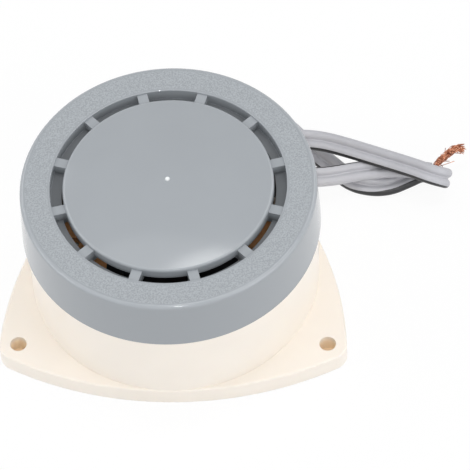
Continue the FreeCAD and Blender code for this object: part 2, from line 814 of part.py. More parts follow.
# Laminated core: an E standing on its yoke
def make_core():
    core = new_body("core_laminations")
    half = s.core_width * HALF
    centre = s.core_centre_leg * HALF
    window = half - s.core_outer_leg
    yoke = frame_top + s.core_yoke
    face = new_sketch(core, "core_face", "XZ_Plane")
    draw_outline(face, [
        (-half, frame_top), (half, frame_top), (half, core_top), (window, core_top),
        (window, yoke), (centre, yoke), (centre, core_top), (-centre, core_top),
        (-centre, yoke), (-window, yoke), (-window, core_top), (-half, core_top),
    ])
    pad(core, face, s.core_depth, both_sides=True)
    holes = new_sketch(core, "core_rivet_holes", "XZ_Plane")
    for side in (-core_rivet_place(), core_rivet_place()):
        draw_circle(holes, side, core_rivet_level(), s.core_rivet_radius + s.rivet_gap)
    pocket(core, holes, s.core_depth + s.core_depth, both_sides=True)
    nodes.append(core)


def core_rivet_place():
    return s.core_width * HALF - s.core_outer_leg * HALF


def core_rivet_level():
    return frame_top + s.core_yoke * HALF


def make_core_rivets():
    """Two rivets through the lamination stack, headed at both ends."""
    pieces = []
    long = s.core_depth + s.core_rivet_head_height * 2
    for number, side in enumerate((-core_rivet_place(), core_rivet_place()), start=1):
        stem = cylinder(f"core_rivet_shank{number}", s.core_rivet_radius, long, (side, ZERO, ZERO))
        heads = []
        for end, start in enumerate((-(long * HALF), s.core_depth * HALF), start=1):
            name = f"core_rivet_head{number}{end}"
            head = cylinder(name, s.core_rivet_head_radius, s.core_rivet_head_height, (side, ZERO, ZERO))
            heads.append((head, start))
        for solid, start in [(stem, -(long * HALF))] + heads:
            solid.Placement = Placement(Vector(), Rotation(Vector(1, 0, 0), -90))
            solid.setExpression("Placement.Base.x", side.formula)
            solid.setExpression("Placement.Base.y", start.formula)
            solid.setExpression("Placement.Base.z", core_rivet_level().formula)
        fused = doc.addObject("Part::MultiFuse", f"core_rivet_{number}")
        fused.Shapes = [stem] + [head for head, start in heads]
        pieces.append(fused)
    group = doc.addObject("Part::Compound", "core_rivets")
    group.Label = "core_rivets"
    group.Links = pieces
    nodes.append(group)


# Bobbin, winding and tape about the centre leg
def draw_ring_box(drawing, half_across, half_along, wall):
    draw_box(drawing, -half_across, half_across, -half_along, half_along)
    outer_across = half_across + wall
    outer_along = half_along + wall
    draw_box(drawing, -outer_across, outer_across, -outer_along, outer_along)


def make_coil():
    hollow_across = s.core_centre_leg * HALF + s.bobbin_gap
    hollow_along = s.core_depth * HALF + s.bobbin_gap
    low = frame_top + s.core_yoke + s.bobbin_gap
    high = core_top - s.bobbin_margin
    bobbin = new_body("bobbin")
    tube = new_sketch(bobbin, "bobbin_tube", lift=low)
    draw_ring_box(tube, hollow_across, hollow_along, s.bobbin_wall)
    pad(bobbin, tube, high - low)
    for name, level in (("lower_flange", low), ("upper_flange", high - s.bobbin_wall)):
        flange = new_sketch(bobbin, name, lift=level)
        draw_ring_box(flange, hollow_across, hollow_along, s.bobbin_wall + bobbin_flange)
        pad(bobbin, flange, s.bobbin_wall)
    nodes.append(bobbin)

    wound_across = hollow_across + s.bobbin_wall + s.tape_gap
    wound_along = hollow_along + s.bobbin_wall + s.tape_gap
    build = bobbin_flange - s.coil_inset
    wound_low = low + s.bobbin_wall + s.tape_gap
    wound_height = high - low - s.bobbin_wall * 2 - s.tape_gap * 2
    winding = new_body("coil_winding")
    turns = new_sketch(winding, "winding_plan", lift=wound_low)
    draw_ring_box(turns, wound_across, wound_along, build)
    pad(winding, turns, wound_height)
    nodes.append(winding)

    tape = new_body("coil_tape")
    wrap = new_sketch(tape, "tape_plan", lift=wound_low)
    skin = build + s.tape_gap
    draw_ring_box(wrap, wound_across + skin, wound_along + skin, s.tape_thickness)
    pad(tape, wrap, wound_height)
    nodes.append(tape)


# Armature, reed and the clamp that holds the reed on the rear post
def make_armature():
    armature = new_body("armature")
    plan = new_sketch(armature, "armature_plan", lift=armature_under)
    half = s.core_width * HALF
    stack = s.core_depth * HALF
    tongue = s.tongue_width * HALF
    draw_outline(plan, [
        (-half, -stack), (-tongue, -stack), (-tongue, -s.tongue_reach), (tongue, -s.tongue_reach),
        (tongue, -stack), (half, -stack), (half, stack), (-half, stack),
    ])
    pad(armature, plan, s.armature_thickness)
    holes = new_sketch(armature, "armature_rivet_holes", lift=armature_top)
    for side in (-s.reed_rivet_distance, s.reed_rivet_distance):
        draw_circle(holes, side, s.reed_front, s.reed_rivet_radius + s.rivet_gap)
    pocket(armature, holes, s.armature_thickness)
    nodes.append(armature)

    reed = new_body("armature_reed")
    strip = new_sketch(reed, "reed_plan", lift=armature_top)
    half_reed = s.reed_width * HALF
    draw_box(strip, -half_reed, half_reed, -s.reed_front, shelf_back)
    for side in (-s.reed_rivet_distance, s.reed_rivet_distance):
        draw_circle(strip, side, s.reed_front, s.reed_rivet_radius + s.rivet_gap)
    for side in (-s.clamp_screw_distance, s.clamp_screw_distance):
        draw_circle(strip, side, clamp_line, s.clamp_screw_radius + s.screw_clearance)
    pad(reed, strip, s.reed_thickness)
    nodes.append(reed)

    places = [(side, s.reed_front) for side in (-s.reed_rivet_distance, s.reed_rivet_distance)]
    nodes.append(headed_group(
        "reed_rivets", places,
        s.reed_rivet_radius, (armature_under, s.armature_thickness + s.reed_thickness),
        s.reed_rivet_head_radius, (reed_top, s.reed_rivet_head_height),
    ))

    clamp = new_body("reed_clamp")
    bar = new_sketch(clamp, "clamp_plan", lift=clamp_under)
    draw_box(bar, -half_reed, half_reed, rear_post_back, shelf_back)
    for side in (-s.clamp_screw_distance, s.clamp_screw_distance):
        draw_circle(bar, side, clamp_line, s.clamp_screw_radius + s.thread_gap)
    pad(clamp, bar, s.clamp_thickness)
    nodes.append(clamp)

    places = [(side, clamp_line) for side in (-s.clamp_screw_distance, s.clamp_screw_distance)]
    low = rear_shelf_top - s.frame_gauge
    nodes.append(headed_group(
        "clamp_screws", places,
        s.clamp_screw_radius, (low, clamp_top - low),
        s.clamp_screw_head_radius, (clamp_top, s.clamp_screw_head_height),
    ))


# Adjusting screw with its lock nut
def make_adjuster():
    tip = armature_top + s.adjuster_gap
    length = adjuster_top - tip
    screw = cylinder("adjusting_screw", s.adjuster_radius, length, (ZERO, -s.adjuster_place, tip))
    screw.Label = "adjusting_screw"
    nodes.append(screw)

    nut = new_body("lock_nut")
    plan = new_sketch(nut, "nut_plan", lift=front_shelf_top)
    across = s.nut_across_flats * HALF
    corner = s.nut_across_flats / math.sqrt(3)
    centre = -s.adjuster_place
    draw_outline(plan, [
        (corner, centre),
        (corner * HALF, centre + across),
        (-corner * HALF, centre + across),
        (-corner, centre),
        (-corner * HALF, centre - across),
        (corner * HALF, centre - across),
    ])
    draw_circle(plan, ZERO, centre, s.adjuster_radius + s.thread_gap)
    pad(nut, plan, s.nut_thickness)
    nodes.append(nut)


# Rivets and screws that hold the frame, the plate, the cap and the tags
def make_fasteners():
    rivet_low = plate_level - s.rivet_head_height
    shank = (rivet_low, frame_top - rivet_low)
    pieces = headed_group(
        "frame_rivets", frame_rivet_places(),
        s.frame_rivet_radius, shank,
        s.rivet_head_radius, (frame_top, s.rivet_head_height),
    )
    nodes.append(pieces)

    plate_places = [polar(plate_boss_circle, angle) for angle in CORNER_ANGLES]
    nodes.append(headed_group(
        "plate_screws", plate_places,
        s.plate_screw_radius, (plate_top - s.plate_screw_length, s.plate_screw_length),
        s.plate_screw_head_radius, (plate_top, s.plate_screw_head_height),
    ))

    cap_places = [polar(column_circle, angle) for angle in COLUMN_ANGLES]
    nodes.append(headed_group(
        "cap_screws", cap_places,
        s.cap_screw_radius, (s.counterbore_depth, column_top + s.cap_screw_bite - s.counterbore_depth),
        s.cap_screw_head_radius, (s.counterbore_depth - s.cap_screw_head_height, s.cap_screw_head_height),
    ))

    tag_places = [(side, tag_rivet_line) for side in (-s.tag_distance, s.tag_distance)]
    tag_top = plate_top + s.tag_thickness
    nodes.append(headed_group(
        "tag_rivets", tag_places,
        s.tag_rivet_radius, (plate_level, tag_top - plate_level),
        s.tag_rivet_head_radius, (tag_top, s.tag_rivet_head_height),
    ))


def make_tags():
    tags = new_body("solder_tags")
    plan = new_sketch(tags, "tag_plan", lift=plate_top)
    half = s.tag_width * HALF
    for side in (-s.tag_distance, s.tag_distance):
        draw_box(plan, side - half, side + half, tag_front, tag_front + s.tag_length)
        draw_circle(plan, side, tag_rivet_line, s.tag_rivet_radius + s.rivet_gap)
    pad(tags, plan, s.tag_thickness)
    nodes.append(tags)


# Grommet in the wall and the bar that holds the flex on its saddle
def make_cord_entry():
    outward = Placement(Vector(), Rotation(Vector(0, 0, 1), entry_angle.value))
    tilt = Placement(Vector(0, 0, entry_level.value), Rotation(Vector(0, 1, 0), 90))
    grommet = new_body("cord_grommet")
    section = new_sketch(grommet, "grommet_section", "XZ_Plane")
    inner = base_bore - s.grommet_inner_gap
    draw_outline(section, [
        (ZERO, inner - s.grommet_flange),
        (s.grommet_flange_radius, inner - s.grommet_flange),
        (s.grommet_flange_radius, inner),
        (s.grommet_neck_radius, inner),
        (s.grommet_neck_radius, grommet_outer),
        (s.grommet_flange_radius, grommet_outer),
        (s.grommet_flange_radius, cord_mouth),
        (ZERO, cord_mouth),
    ])
    revolve(grommet, section)
    bore = new_sketch(grommet, "grommet_bore", lift=cord_mouth, turn=as_size(90))
    draw_slot(bore, ZERO, s.flex_width + s.cord_gap * 2, s.flex_height + s.cord_gap * 2)
    pocket(grommet, bore, cord_mouth - inner + s.grommet_flange)
    grommet.Placement = outward.multiply(tilt)
    grommet.setExpression("Placement.Base.z", entry_level.formula)
    nodes.append(grommet)

    bar = new_body("cord_clamp")
    face = new_sketch(bar, "bar_face", "YZ_Plane", lift=saddle_near)
    half = s.saddle_half_width
    arch = s.flex_width * HALF + s.cord_gap
    draw_outline(face, [
        (-half, bar_under), (-arch, bar_under), (-arch, flex_top), (arch, flex_top),
        (arch, bar_under), (half, bar_under), (half, bar_top), (-half, bar_top),
    ])
    pad(bar, face, saddle_far - saddle_near)
    holes = new_sketch(bar, "bar_holes", lift=bar_top)
    middle = (saddle_near + saddle_far) * HALF
    for side in (-s.bar_screw_place, s.bar_screw_place):
        draw_circle(holes, middle, side, s.bar_screw_radius + s.thread_gap)
    pocket(bar, holes, bar_top - bar_under)
    bar.Placement = outward
    nodes.append(bar)

    angle = entry_angle.value
    along_x, along_y = polar(middle, angle)
    side_x, side_y = polar(s.bar_screw_place, angle + 90)
    places = [(along_x - side_x, along_y - side_y), (along_x + side_x, along_y + side_y)]
    nodes.append(headed_group(
        "cord_clamp_screws", places,
        s.bar_screw_radius, (bar_top - s.bar_screw_length, s.bar_screw_length),
        s.bar_screw_head_radius, (bar_top, s.bar_screw_head_height),
    ))

    inner_flex = new_body("flex_inner")
    slot = new_sketch(inner_flex, "flex_section", "YZ_Plane", lift=flex_end)
    draw_slot(slot, entry_level, s.flex_width, s.flex_height)
    pad(inner_flex, slot, cord_mouth - flex_end)
    inner_flex.Placement = outward
    nodes.append(inner_flex)


# Tubes along straight runs joined by tangent arcs
def route_wire(points):
    """Joins the points by straight runs; each corner is an arc as large as its runs allow."""
    edges = []
    radii = []
    last = points[0]
    for before, corner, after in zip(points, points[1:], points[2:]):
        back = before - corner
        ahead = after - corner
        shorter = min(back.Length, ahead.Length)
        turn = math.pi - back.getAngle(ahead)
        cut = 0.45 * shorter
        radii.append(cut / math.tan(turn / 2))
        back.normalize()
        ahead.normalize()
        begin = corner + back * cut
        finish = corner + ahead * cut
        bisector = (back + ahead).normalize()
        depth = radii[-1] * (1 / math.cos(turn / 2) - 1)
        edges.append(Part.LineSegment(last, begin).toShape())
        edges.append(Part.Arc(begin, corner + bisector * depth, finish).toShape())
        last = finish
    edges.append(Part.LineSegment(last, points[-1]).toShape())
    return Part.Wire(edges), radii


def tube(name, points, radius):
    wire, radii = route_wire(points)
    heading = points[1] - points[0]
    ring = Part.Wire(Part.makeCircle(radius, points[0], heading))
    solid = wire.makePipeShell([ring], True, False)
    expected = math.pi * radius ** 2 * wire.Length
    print(f"{name}: length {wire.Length:.1f} mm, least radius {min(radii):.1f} mm, "
          f"volume ratio {solid.Volume / expected:.4f}")
    print("   radii " + " ".join(f"{value:.1f}" for value in radii))
    return solid


def add_solids(name, solids):
    feature = doc.addObject("Part::Feature", name)
    feature.Label = name
    feature.Shape = solids[0] if len(solids) == 1 else Part.makeCompound(solids)
    nodes.append(feature)


# Wires inside the case: the flex's two cores and the coil's two leads, all to the tags
def make_inner_wires():
    angle = math.radians(entry_angle.value)
    outward = Vector(math.cos(angle), math.sin(angle), 0)
    lobe = Vector(-outward.y, outward.x, 0) * ((s.flex_width - s.flex_height).value / 2)
    tail = outward * flex_end.value + Vector(0, 0, entry_level.value)
    radius = s.supply_core_radius.value
    straight = outward * s.supply_core_lead.value
    low = (entry_level + s.supply_core_rise).value
    high = (plate_top + s.supply_core_arch).value
    line = wire_hole_line.value
    tag = s.tag_distance.value
    tag_edge = tag_front.value
    rest = (plate_top + s.tag_thickness + s.supply_core_radius + s.cord_gap).value
    left_core = [
        tail + lobe,
        tail + lobe - straight,
        Vector(s.left_wire_hole.value, line, low),
        Vector(s.left_wire_hole.value, line, high),
        Vector(-tag / 2, (line + tag_edge) / 2 + radius, high),
        Vector(-tag, tag_edge + radius, rest),
    ]
    right_core = [
        tail - lobe,
        tail - lobe - straight,
        Vector(s.right_wire_hole.value, line, low),
        Vector(s.right_wire_hole.value, line, high),
        Vector(tag, tag_edge + radius * 2, rest),
    ]
    add_solids("supply_cores", [
        tube("supply_core_left", left_core, radius),
        tube("supply_core_right", right_core, radius),
    ])

    radius = s.lead_radius.value
    outside = (s.core_depth * HALF + s.bobbin_gap + s.bobbin_wall + bobbin_flange).value
    start = outside - s.coil_inset.value + s.tape_thickness.value + s.tape_gap.value * 2
    high = (core_top - s.bobbin_margin - s.bobbin_wall - s.lead_radius * 3).value
    rest = (plate_top + s.tag_thickness + s.lead_radius + s.cord_gap).value
    edge = tag + s.tag_width.value / 2 - radius * 1.5
    leads = []
    for sign in (-1, 1):
        begin = Vector(sign * s.lead_place.value, start, high)
        out = begin + Vector(0, s.lead_straight.value, 0)
        middle = Vector(sign * tag, out.y + radius * 3, (high + rest) / 2)
        low = Vector(sign * edge, tag_edge - s.lead_sag.value, rest + s.lead_sag.value * HALF)
        end = Vector(sign * edge, tag_edge + radius * 2, rest)
        leads.append(tube("coil_lead", [begin, out, middle, low, end], radius))
    add_solids("coil_leads", leads)


# The flex leaves the grommet straight for this far
FLEX_LEAD = 7.0
# Free flex: out of the grommet, along the floor, over itself and back; chosen by hand
FLEX_ROUTE = (
    (17.8, 47.6, 6.2),
    (21.8, 50.0, 2.9),
    (26.6, 48.2, 1.95),
    (31.8, 42.6, 1.9),
    (36.8, 37.4, 1.9),
    (41.6, 31.2, 1.9),
    (47.0, 27.6, 1.9),
    (54.0, 27.4, 1.9),
    (60.6, 30.4, 1.9),
    (67.0, 31.7, 1.95),
    (70.0, 29.4, 4.9),
    (67.6, 26.7, 8.4),
    (60.4, 29.6, 8.7),
    (50.6, 34.0, 8.5),
    (40.0, 37.6, 8.4),
    (31.0, 40.4, 8.4),
    (25.6, 37.0, 7.9),
    (25.9, 31.2, 7.2),
    (32.0, 28.4, 6.5),
    (40.6, 28.7, 6.3),
    (48.6, 30.7, 5.8),
    (55.8, 34.0, 2.6),
    (61.8, 35.6, 1.9),
    (66.4, 36.6, 1.95),
)
# Bare strands beyond the flex's end: two bundles that start straight and spread at their tips
STRAND_LEAD = 1.2
STRAND_SPREAD = 1.2
STRAND_ROUTE = ((68.8, 38.0, 2.3), (71.2, 39.4, 2.8), (73.6, 40.6, 2.7))


def make_flex():
    turn = math.radians(entry_angle.value)
    outward = Vector(math.cos(turn), math.sin(turn), 0)
    across = Vector(-outward.y, outward.x, 0)
    level = Vector(0, 0, entry_level.value)
    mouth = outward * cord_mouth.value + level
    route = [mouth, mouth + outward * FLEX_LEAD] + [Vector(*place) for place in FLEX_ROUTE]
    add_solids("flex_cord", [tube("flex_cord", route, s.cord_radius.value)])

    ends = []
    tip = route[-1]
    heading = (route[-1] - route[-2]).normalize()
    lateral = heading.cross(Vector(0, 0, 1)).normalize() * s.strand_bundle_distance.value
    for sign in (-1, 1):
        shift = lateral * sign
        path = [tip + shift, tip + shift + heading * STRAND_LEAD]
        path += [Vector(*place) + shift for place in STRAND_ROUTE[:-1]]
        path.append(Vector(*STRAND_ROUTE[-1]) + shift * STRAND_SPREAD)
        ends.append(tube("bare_strand_bundle", path, s.strand_bundle_radius.value))
    add_solids("bare_strands", ends)


make_base_housing()
make_cap()
make_mounting_plate()
make_magnet_frame()
make_core()
make_core_rivets()
make_coil()
make_armature()
make_adjuster()
make_fasteners()
make_tags()
make_cord_entry()
make_inner_wires()
make_flex()
doc.recompute()


# Every object has to be sound before anything is written
faults = []
for item in doc.Objects:
    if "Invalid" in item.State or "Error" in item.State:
        faults.append(f"{item.Name} is {item.State}")
for item in nodes:
    if item.Shape.isNull() or not item.Shape.isValid():
        faults.append(f"{item.Label} has no valid shape")
if faults:
    raise RuntimeError("; ".join(faults))

os.makedirs("parts", exist_ok=True)
for item in nodes:
    item.Shape.exportStep(os.path.join("parts", item.Label + ".step"))
    print(f"{item.Label}: {len(item.Shape.Solids)} solids, {item.Shape.Volume:.1f} mm3")
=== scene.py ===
"""Looks of the doorbell sounder: studio, camera, flex, copper, fasteners and the finish of each piece."""

import json
import math
import random

import bmesh
import bpy
from mathutils import Matrix, Quaternion, Vector


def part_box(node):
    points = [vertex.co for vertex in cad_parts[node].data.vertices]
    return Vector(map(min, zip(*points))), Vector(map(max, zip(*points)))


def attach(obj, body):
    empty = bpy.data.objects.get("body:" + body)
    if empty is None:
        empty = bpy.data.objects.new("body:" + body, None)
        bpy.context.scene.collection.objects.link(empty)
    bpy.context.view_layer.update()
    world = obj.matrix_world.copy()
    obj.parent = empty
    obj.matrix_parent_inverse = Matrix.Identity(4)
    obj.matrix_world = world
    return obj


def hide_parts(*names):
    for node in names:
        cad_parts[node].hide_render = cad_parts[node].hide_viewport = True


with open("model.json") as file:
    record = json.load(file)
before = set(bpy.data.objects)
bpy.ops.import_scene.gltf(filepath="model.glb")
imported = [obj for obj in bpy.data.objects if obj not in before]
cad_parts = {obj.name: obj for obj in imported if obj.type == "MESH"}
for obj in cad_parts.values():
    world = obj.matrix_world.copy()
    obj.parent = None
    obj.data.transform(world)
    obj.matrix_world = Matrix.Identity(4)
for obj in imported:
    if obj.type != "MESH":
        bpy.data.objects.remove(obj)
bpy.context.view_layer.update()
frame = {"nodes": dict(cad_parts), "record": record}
MM = 0.001
UP = Vector((0, 0, 1))
WHITE = (1, 1, 1)
SQUARE = ((-1, -1), (1, -1), (1, 1), (-1, 1))

# Camera, set so that the cap's rims and the flange's holes fall where the photograph has them
CAMERA_PLACE = Vector((0.069598, -0.643274, 0.928203))
CAMERA_AIM = Vector((0.01626, -0.00670, 0.03))
CAMERA_ROLL = math.radians(-4.03)
CAMERA_LENS = 339.2
CAMERA_SENSOR = 36.0
CAMERA_FAR = 10.0

# Studio: an even, pale room and soft oval lamps, in metres, watts and degrees; a lamp's row holds its
# name, place, size, power and the azimuth of its long axis
ROOM_LEVEL = 0.35
ROOM_COLOUR = (0.97, 0.985, 1.0)
FLOOR_COLOUR = (0.90, 0.90, 0.90)
FLOOR_GLOW = 0.92
FLOOR_LEVEL = -0.03 * MM
FLOOR_REACH = 2.5
LAMPS = (
    ("ceiling", (-0.12, 0.10, 1.2), (1.0, 0.60), 1.1, 0),
    ("key", (0.19, 0.235, 1.12), (0.80, 0.15), 1.8, 20),
    ("front", (0.074, -0.70, 1.008), (0.10, 0.10), 2.9, 0),
    ("front_left", (-0.68, -0.57, 0.80), (0.6, 0.6), 0.6, 0),
    ("front_right", (0.68, -0.57, 0.80), (0.6, 0.6), 1.9, 0),
    ("side_left", (-1.2, -0.25, 0.5), (1.0, 0.6), 5.0, 90),
    ("side_right", (1.15, -0.45, 0.5), (1.0, 0.6), 4.3, 70),
    ("back_left", (-0.75, 0.60, 0.75), (0.7, 0.5), 1.8, 40),
    ("back_right", (0.75, 0.60, 0.75), (0.7, 0.5), 1.4, -40),
)

# Fixing holes of the flange, the painted warm light on their floors and walls, and the pairs of levels or
# radii between which the painted light on the walls fades
HOLE_CIRCLE = 45.0 * MM
HOLE_RADIUS = 2.1 * MM
HOLE_CLEARANCE = 3.0 * MM
HOLE_ANGLES = (90, 210, 330)
HOLE_FLOOR_PAINTED_LIGHT = (1.0, 0.80, 0.58)
HOLE_WALL_PAINTED_LIGHT = (1.0, 0.85, 0.66)
HOLE_WALL_FADE = (0.05 * MM, 0.2 * MM)
HOLE_DEPTH_FADE = (-2.2 * MM, -0.2 * MM)
FLANGE_LEVEL = 5.0 * MM

# Sizes of the cap's rings, which aren't nodes of their own
RING_WIDTH = 8.05 * MM
CAP_TAPER = 0.55 * MM
RING_BORDER = 1.5 * MM
GROOVE_WALL = 0.2 * MM
LEDGE_WIDTH = 2.25 * MM
SLOT_WIDTH = 0.9 * MM
DISC_RISE = 3.5 * MM
GATE_PLACE = Vector((0, -0.45 * MM, 0))

# Zones of the cap's grain, its painted shade in the groove and on the skirt and its painted highlights on
# the rims, as pairs of distances between which each one fades
GRAIN_INSIDE = (0.5 * MM, 0.8 * MM)
GRAIN_OUTSIDE = (0.0, 0.5 * MM)
GRAIN_DROP = 0.6 * MM
# Where the painted shade in the groove lies
GROOVE_INSIDE = (-3.6 * MM, -3.0 * MM)
GROOVE_OUTSIDE = (-0.2 * MM, 0.1 * MM)
GROOVE_SINK = (-3.4 * MM, -1.2 * MM)
# Where the painted shade on the skirt lies
SKIRT_SIDE = (-1.3 * MM, -0.8 * MM)
SKIRT_TOP = (-1.5 * MM, -0.5 * MM)
# Where the painted highlight lines lie along the rims of the disc and the ring
DISC_RIM_HIGHLIGHT = (0.25 * MM, 0.4 * MM, (0.125 * MM, 0.275 * MM))
RING_RIM_HIGHLIGHT = (0.45 * MM, -0.35 * MM, (0.225 * MM, 0.495 * MM))
RIM_HIGHLIGHT_DROP = (-1.0 * MM, -0.7 * MM)
GATE_EDGE = (0.4 * MM, 0.75 * MM)
GATE_DROP = 0.6 * MM
# Tone factors of the painted shade in the groove and on the skirt, and of the painted highlight on the rims
GROOVE_PAINTED_SHADE = 0.50
SKIRT_PAINTED_SHADE = 0.94
RIM_PAINTED_HIGHLIGHT = 1.10
GREY_ROUGHNESS = 0.11
RING_ROUGHNESS = 0.35
GROOVE_ROUGHNESS = 0.45

# Colours
CREAM = (0.89, 0.825, 0.745)
GREY = (0.330, 0.352, 0.375)
PIT_DARK = (0.284, 0.304, 0.323)
PIT_LIGHT = (0.387, 0.412, 0.436)
GATE_PALE = (0.85, 0.87, 0.88)
BOARD = (0.70, 0.33, 0.13)
BOARD_DARK = (0.64, 0.29, 0.105)
BOARD_LIGHT = (0.77, 0.385, 0.165)
LAMINATION = (0.36, 0.36, 0.37)
LAMINATION_GAP = (0.06, 0.06, 0.065)
RUST = (0.22, 0.15, 0.10)
COPPER = (0.50, 0.19, 0.10)
COPPER_DARK = (0.26, 0.085, 0.045)
COPPER_LIGHT = (0.66, 0.32, 0.20)

# The middle part of a noise's range, which the finishes spread out
NOISE_LOW = 0.3
NOISE_HIGH = 0.7
PIT_RANGE = (0.36, 0.66)
RUST_RANGE = (0.55, 0.75)
METAL_SHADES = (0.82, 1.08)
METAL_GLOSS = (0.75, 1.35)
LAMINATION_EDGE = 0.35
LAMINATION_SCALE = 628.0

# Twin flex: two lobes joined by a web, as wide as the cord in the frame; the tracer in degrees
FLEX_WIDTH = 5.2 * MM
LOBE_RADIUS = 1.25 * MM
LOBE_SPREAD = FLEX_WIDTH / 2 - LOBE_RADIUS
WEB_HALF_THICKNESS = 0.5 * MM
SAME_PLACE = 0.001 * MM
LOBE_STEPS = 18
FLEX_STEPS = 14
SMOOTHING_ROUNDS = 12
TRACER_FROM = -72.0
TRACER_TO = 58.0

# Route of the free flex in millimetres, and which way its marked lobe points there
MOUTH = Vector((12.951, 35.566, 10.0))
MOUTH_HINT = Vector((0.94, -0.34, 0.0))
OUTWARD = Vector((0.34215, 0.93965, 0.0))
FLEX_LEAD = 7.0
FLEX_ROUTE = (
    ((17.8, 47.6, 6.2), (0.60, -0.80, 0.0)),
    ((21.8, 50.0, 2.9), (0.14, -0.99, 0.0)),
    ((26.6, 48.0, 2.4), (-0.60, -0.70, -0.40)),
    ((31.6, 42.2, 2.4), (-0.65, -0.50, -0.57)),
    ((36.6, 37.2, 2.4), (-0.62, -0.55, -0.56)),
    ((40.4, 33.6, 2.4), (-0.55, -0.60, -0.58)),
    ((44.0, 29.9, 2.4), (-0.35, -0.66, -0.67)),
    ((48.4, 28.6, 2.0), (-0.03, -0.88, -0.47)),
    ((53.6, 28.6, 1.4), (0.0, -1.0, -0.05)),
    ((58.6, 31.0, 1.5), (0.30, -0.95, 0.0)),
    ((62.8, 33.4, 1.6), (0.10, -0.98, 0.0)),
    ((67.4, 31.2, 2.2), (-0.20, -0.93, -0.20)),
    ((69.5, 28.3, 5.4), (-0.22, -0.86, -0.45)),
    ((65.4, 27.0, 8.8), (-0.28, -0.88, -0.38)),
    ((60.4, 29.4, 8.7), (-0.35, -0.87, -0.35)),
    ((50.6, 33.3, 8.5), (-0.35, -0.87, -0.35)),
    ((43.0, 36.3, 8.4), (-0.35, -0.87, -0.35)),
    ((36.6, 38.4, 8.4), (-0.22, -0.90, -0.36)),
    ((30.0, 39.2, 8.2), (0.05, -0.85, -0.52)),
    ((25.6, 36.0, 7.9), (0.43, -0.23, -0.86)),
    ((26.2, 30.6, 7.2), (0.50, 0.30, -0.80)),
    ((32.0, 28.2, 6.5), (0.10, 0.92, 0.36)),
    ((38.6, 28.3, 6.4), (-0.10, 0.93, 0.34)),
    ((46.4, 30.5, 6.0), (-0.24, 0.92, 0.28)),
    ((54.0, 32.0, 5.1), (-0.10, 0.98, 0.16)),
    ((59.6, 32.3, 4.5), (0.0, 1.0, 0.05)),
    ((64.7, 31.3, 4.4), (0.0, 1.0, 0.0)),
)

# Bare strands beyond the flex's end, in millimetres and radians
STRAND_ROUTE = (
    (66.0, 32.2, 5.2), (66.8, 33.4, 6.2), (68.2, 34.2, 6.7),
    (69.3, 35.4, 7.0), (70.8, 36.4, 7.0), (72.6, 37.0, 6.8),
)
STRAND_SEED = 11
STRAND_RADIUS = 0.09 * MM
STRAND_STEPS = 6
STRAND_BEVEL_STEPS = 2
STRANDS_PER_CORE = 34
STRAND_FLOOR = 0.3 * MM
STRAND_START = 1.0 * MM
STRAND_STRAIGHT = 1.6 * MM
CORE_COPPER = 0.55 * MM
CORE_OFFSET = 0.2 * MM
TWIST = (1.2, 2.4)
TWIST_JITTER = (-0.5, 0.5)
BUNDLE_RADIUS = 1.3 * MM
BUNDLE_SHARE = (0.05, 1.0)
SWAY = (-0.6, 0.6)
TIP_REACH = (-0.6, 0.9)
STRAY_STRANDS = 6
STRAY_LEAVES = 4
STRAY_HEADING = ((0.1, 1.0), (-0.5, 1.2), (-0.3, 0.9))
STRAY_STEPS = 2
STRAY_REACH = (1.1, 2.0)
STRAY_BEND = (-0.5, 0.5)

# Wires inside the case, in millimetres
FLEX_END = 24.0
MOUTH_REACH = 37.85
LOBE_SIDE = Vector((-1.2215, 0.4448, 0.0))
LEFT_CORE = ((4.2, 19.2, 14.0), (4.2, 19.2, 19.7), (-5.0, 20.75, 19.7), (-10.0, 21.4, 18.2))
RIGHT_CORE = ((8.6, 19.2, 14.0), (8.6, 19.2, 19.7), (10.0, 22.3, 18.2))
COIL_LEAD = (
    (8.0, 10.29, 31.2), (8.0, 12.49, 31.2), (10.0, 13.99, 24.5), (11.25, 17.1, 19.5), (11.25, 21.5, 17.8),
)
CORE_LEAD = 3.8
CORE_RADIUS = 0.9 * MM
LEAD_RADIUS = 0.5 * MM
SPLINE_STEPS = 8
WIRE_AROUND = 14

# Solder on the tags: places as x, y and radius in millimetres, and its shape as shares of the radius
# and heights in millimetres
SOLDER_PLACES = ((-10.0, 21.7, 1.25), (9.9, 22.3, 1.25), (-11.1, 21.5, 0.8), (11.1, 21.5, 0.8))
SOLDER_SHAPE = ((1.0, 0.0), (0.93, 0.25), (0.75, 0.6), (0.45, 0.95), (0.12, 1.1))
SOLDER_AROUND = 20
SOLDER_SEED = 20
SOLDER_LEAN = (-0.1, 0.1)

# Steps of the turned pieces, and shares of the radius and height of their heads
AROUND = 24
RINGS_PER_PITCH = 6
THREAD_DEPTH = 0.24 * MM
THREAD_RUNOUT = 0.5
TIP_SHARE = 0.35
DOME_STEPS = 6
CROWN_RADIUS = 0.02 * MM
CREASE = math.radians(38)
SCREW_LINE = math.radians(30)
PAN_SIDE = ((0.95, 0.0), (1.0, 0.12), (1.0, 0.40))
PAN_BULGE = 0.7
RIVET_SIDE = ((0.97, 0.0), (1.0, 0.10))
RIVET_BULGE = 1.0
RIVET_CHAMFER = 0.1 * MM
RIVET_END = 0.9
FOOT_SHAPE = ((0.6, 0.0), (0.92, 0.12 * MM), (1.0, 0.35 * MM))
FOOT_TOP = 0.97
CORE_RIVET_HEAD = 1.9 * MM
CORE_RIVET_HEAD_HEIGHT = 0.7 * MM
CORE_RIVET_SHANK = 1.1 * MM

# Recesses as shares of the head: length, width and turns in radians, then depth
RECESSES = {
    "slot": (4.0, 0.30, (0.6,)),
    "cross": (1.15, 0.26, (0.4, 0.4 + math.pi / 2)),
}
SLOT_DEPTH = 0.45
CROSS_DEPTH = 0.72
RECESS_TAPER = 0.55
CUT_OVER = 0.1 * MM

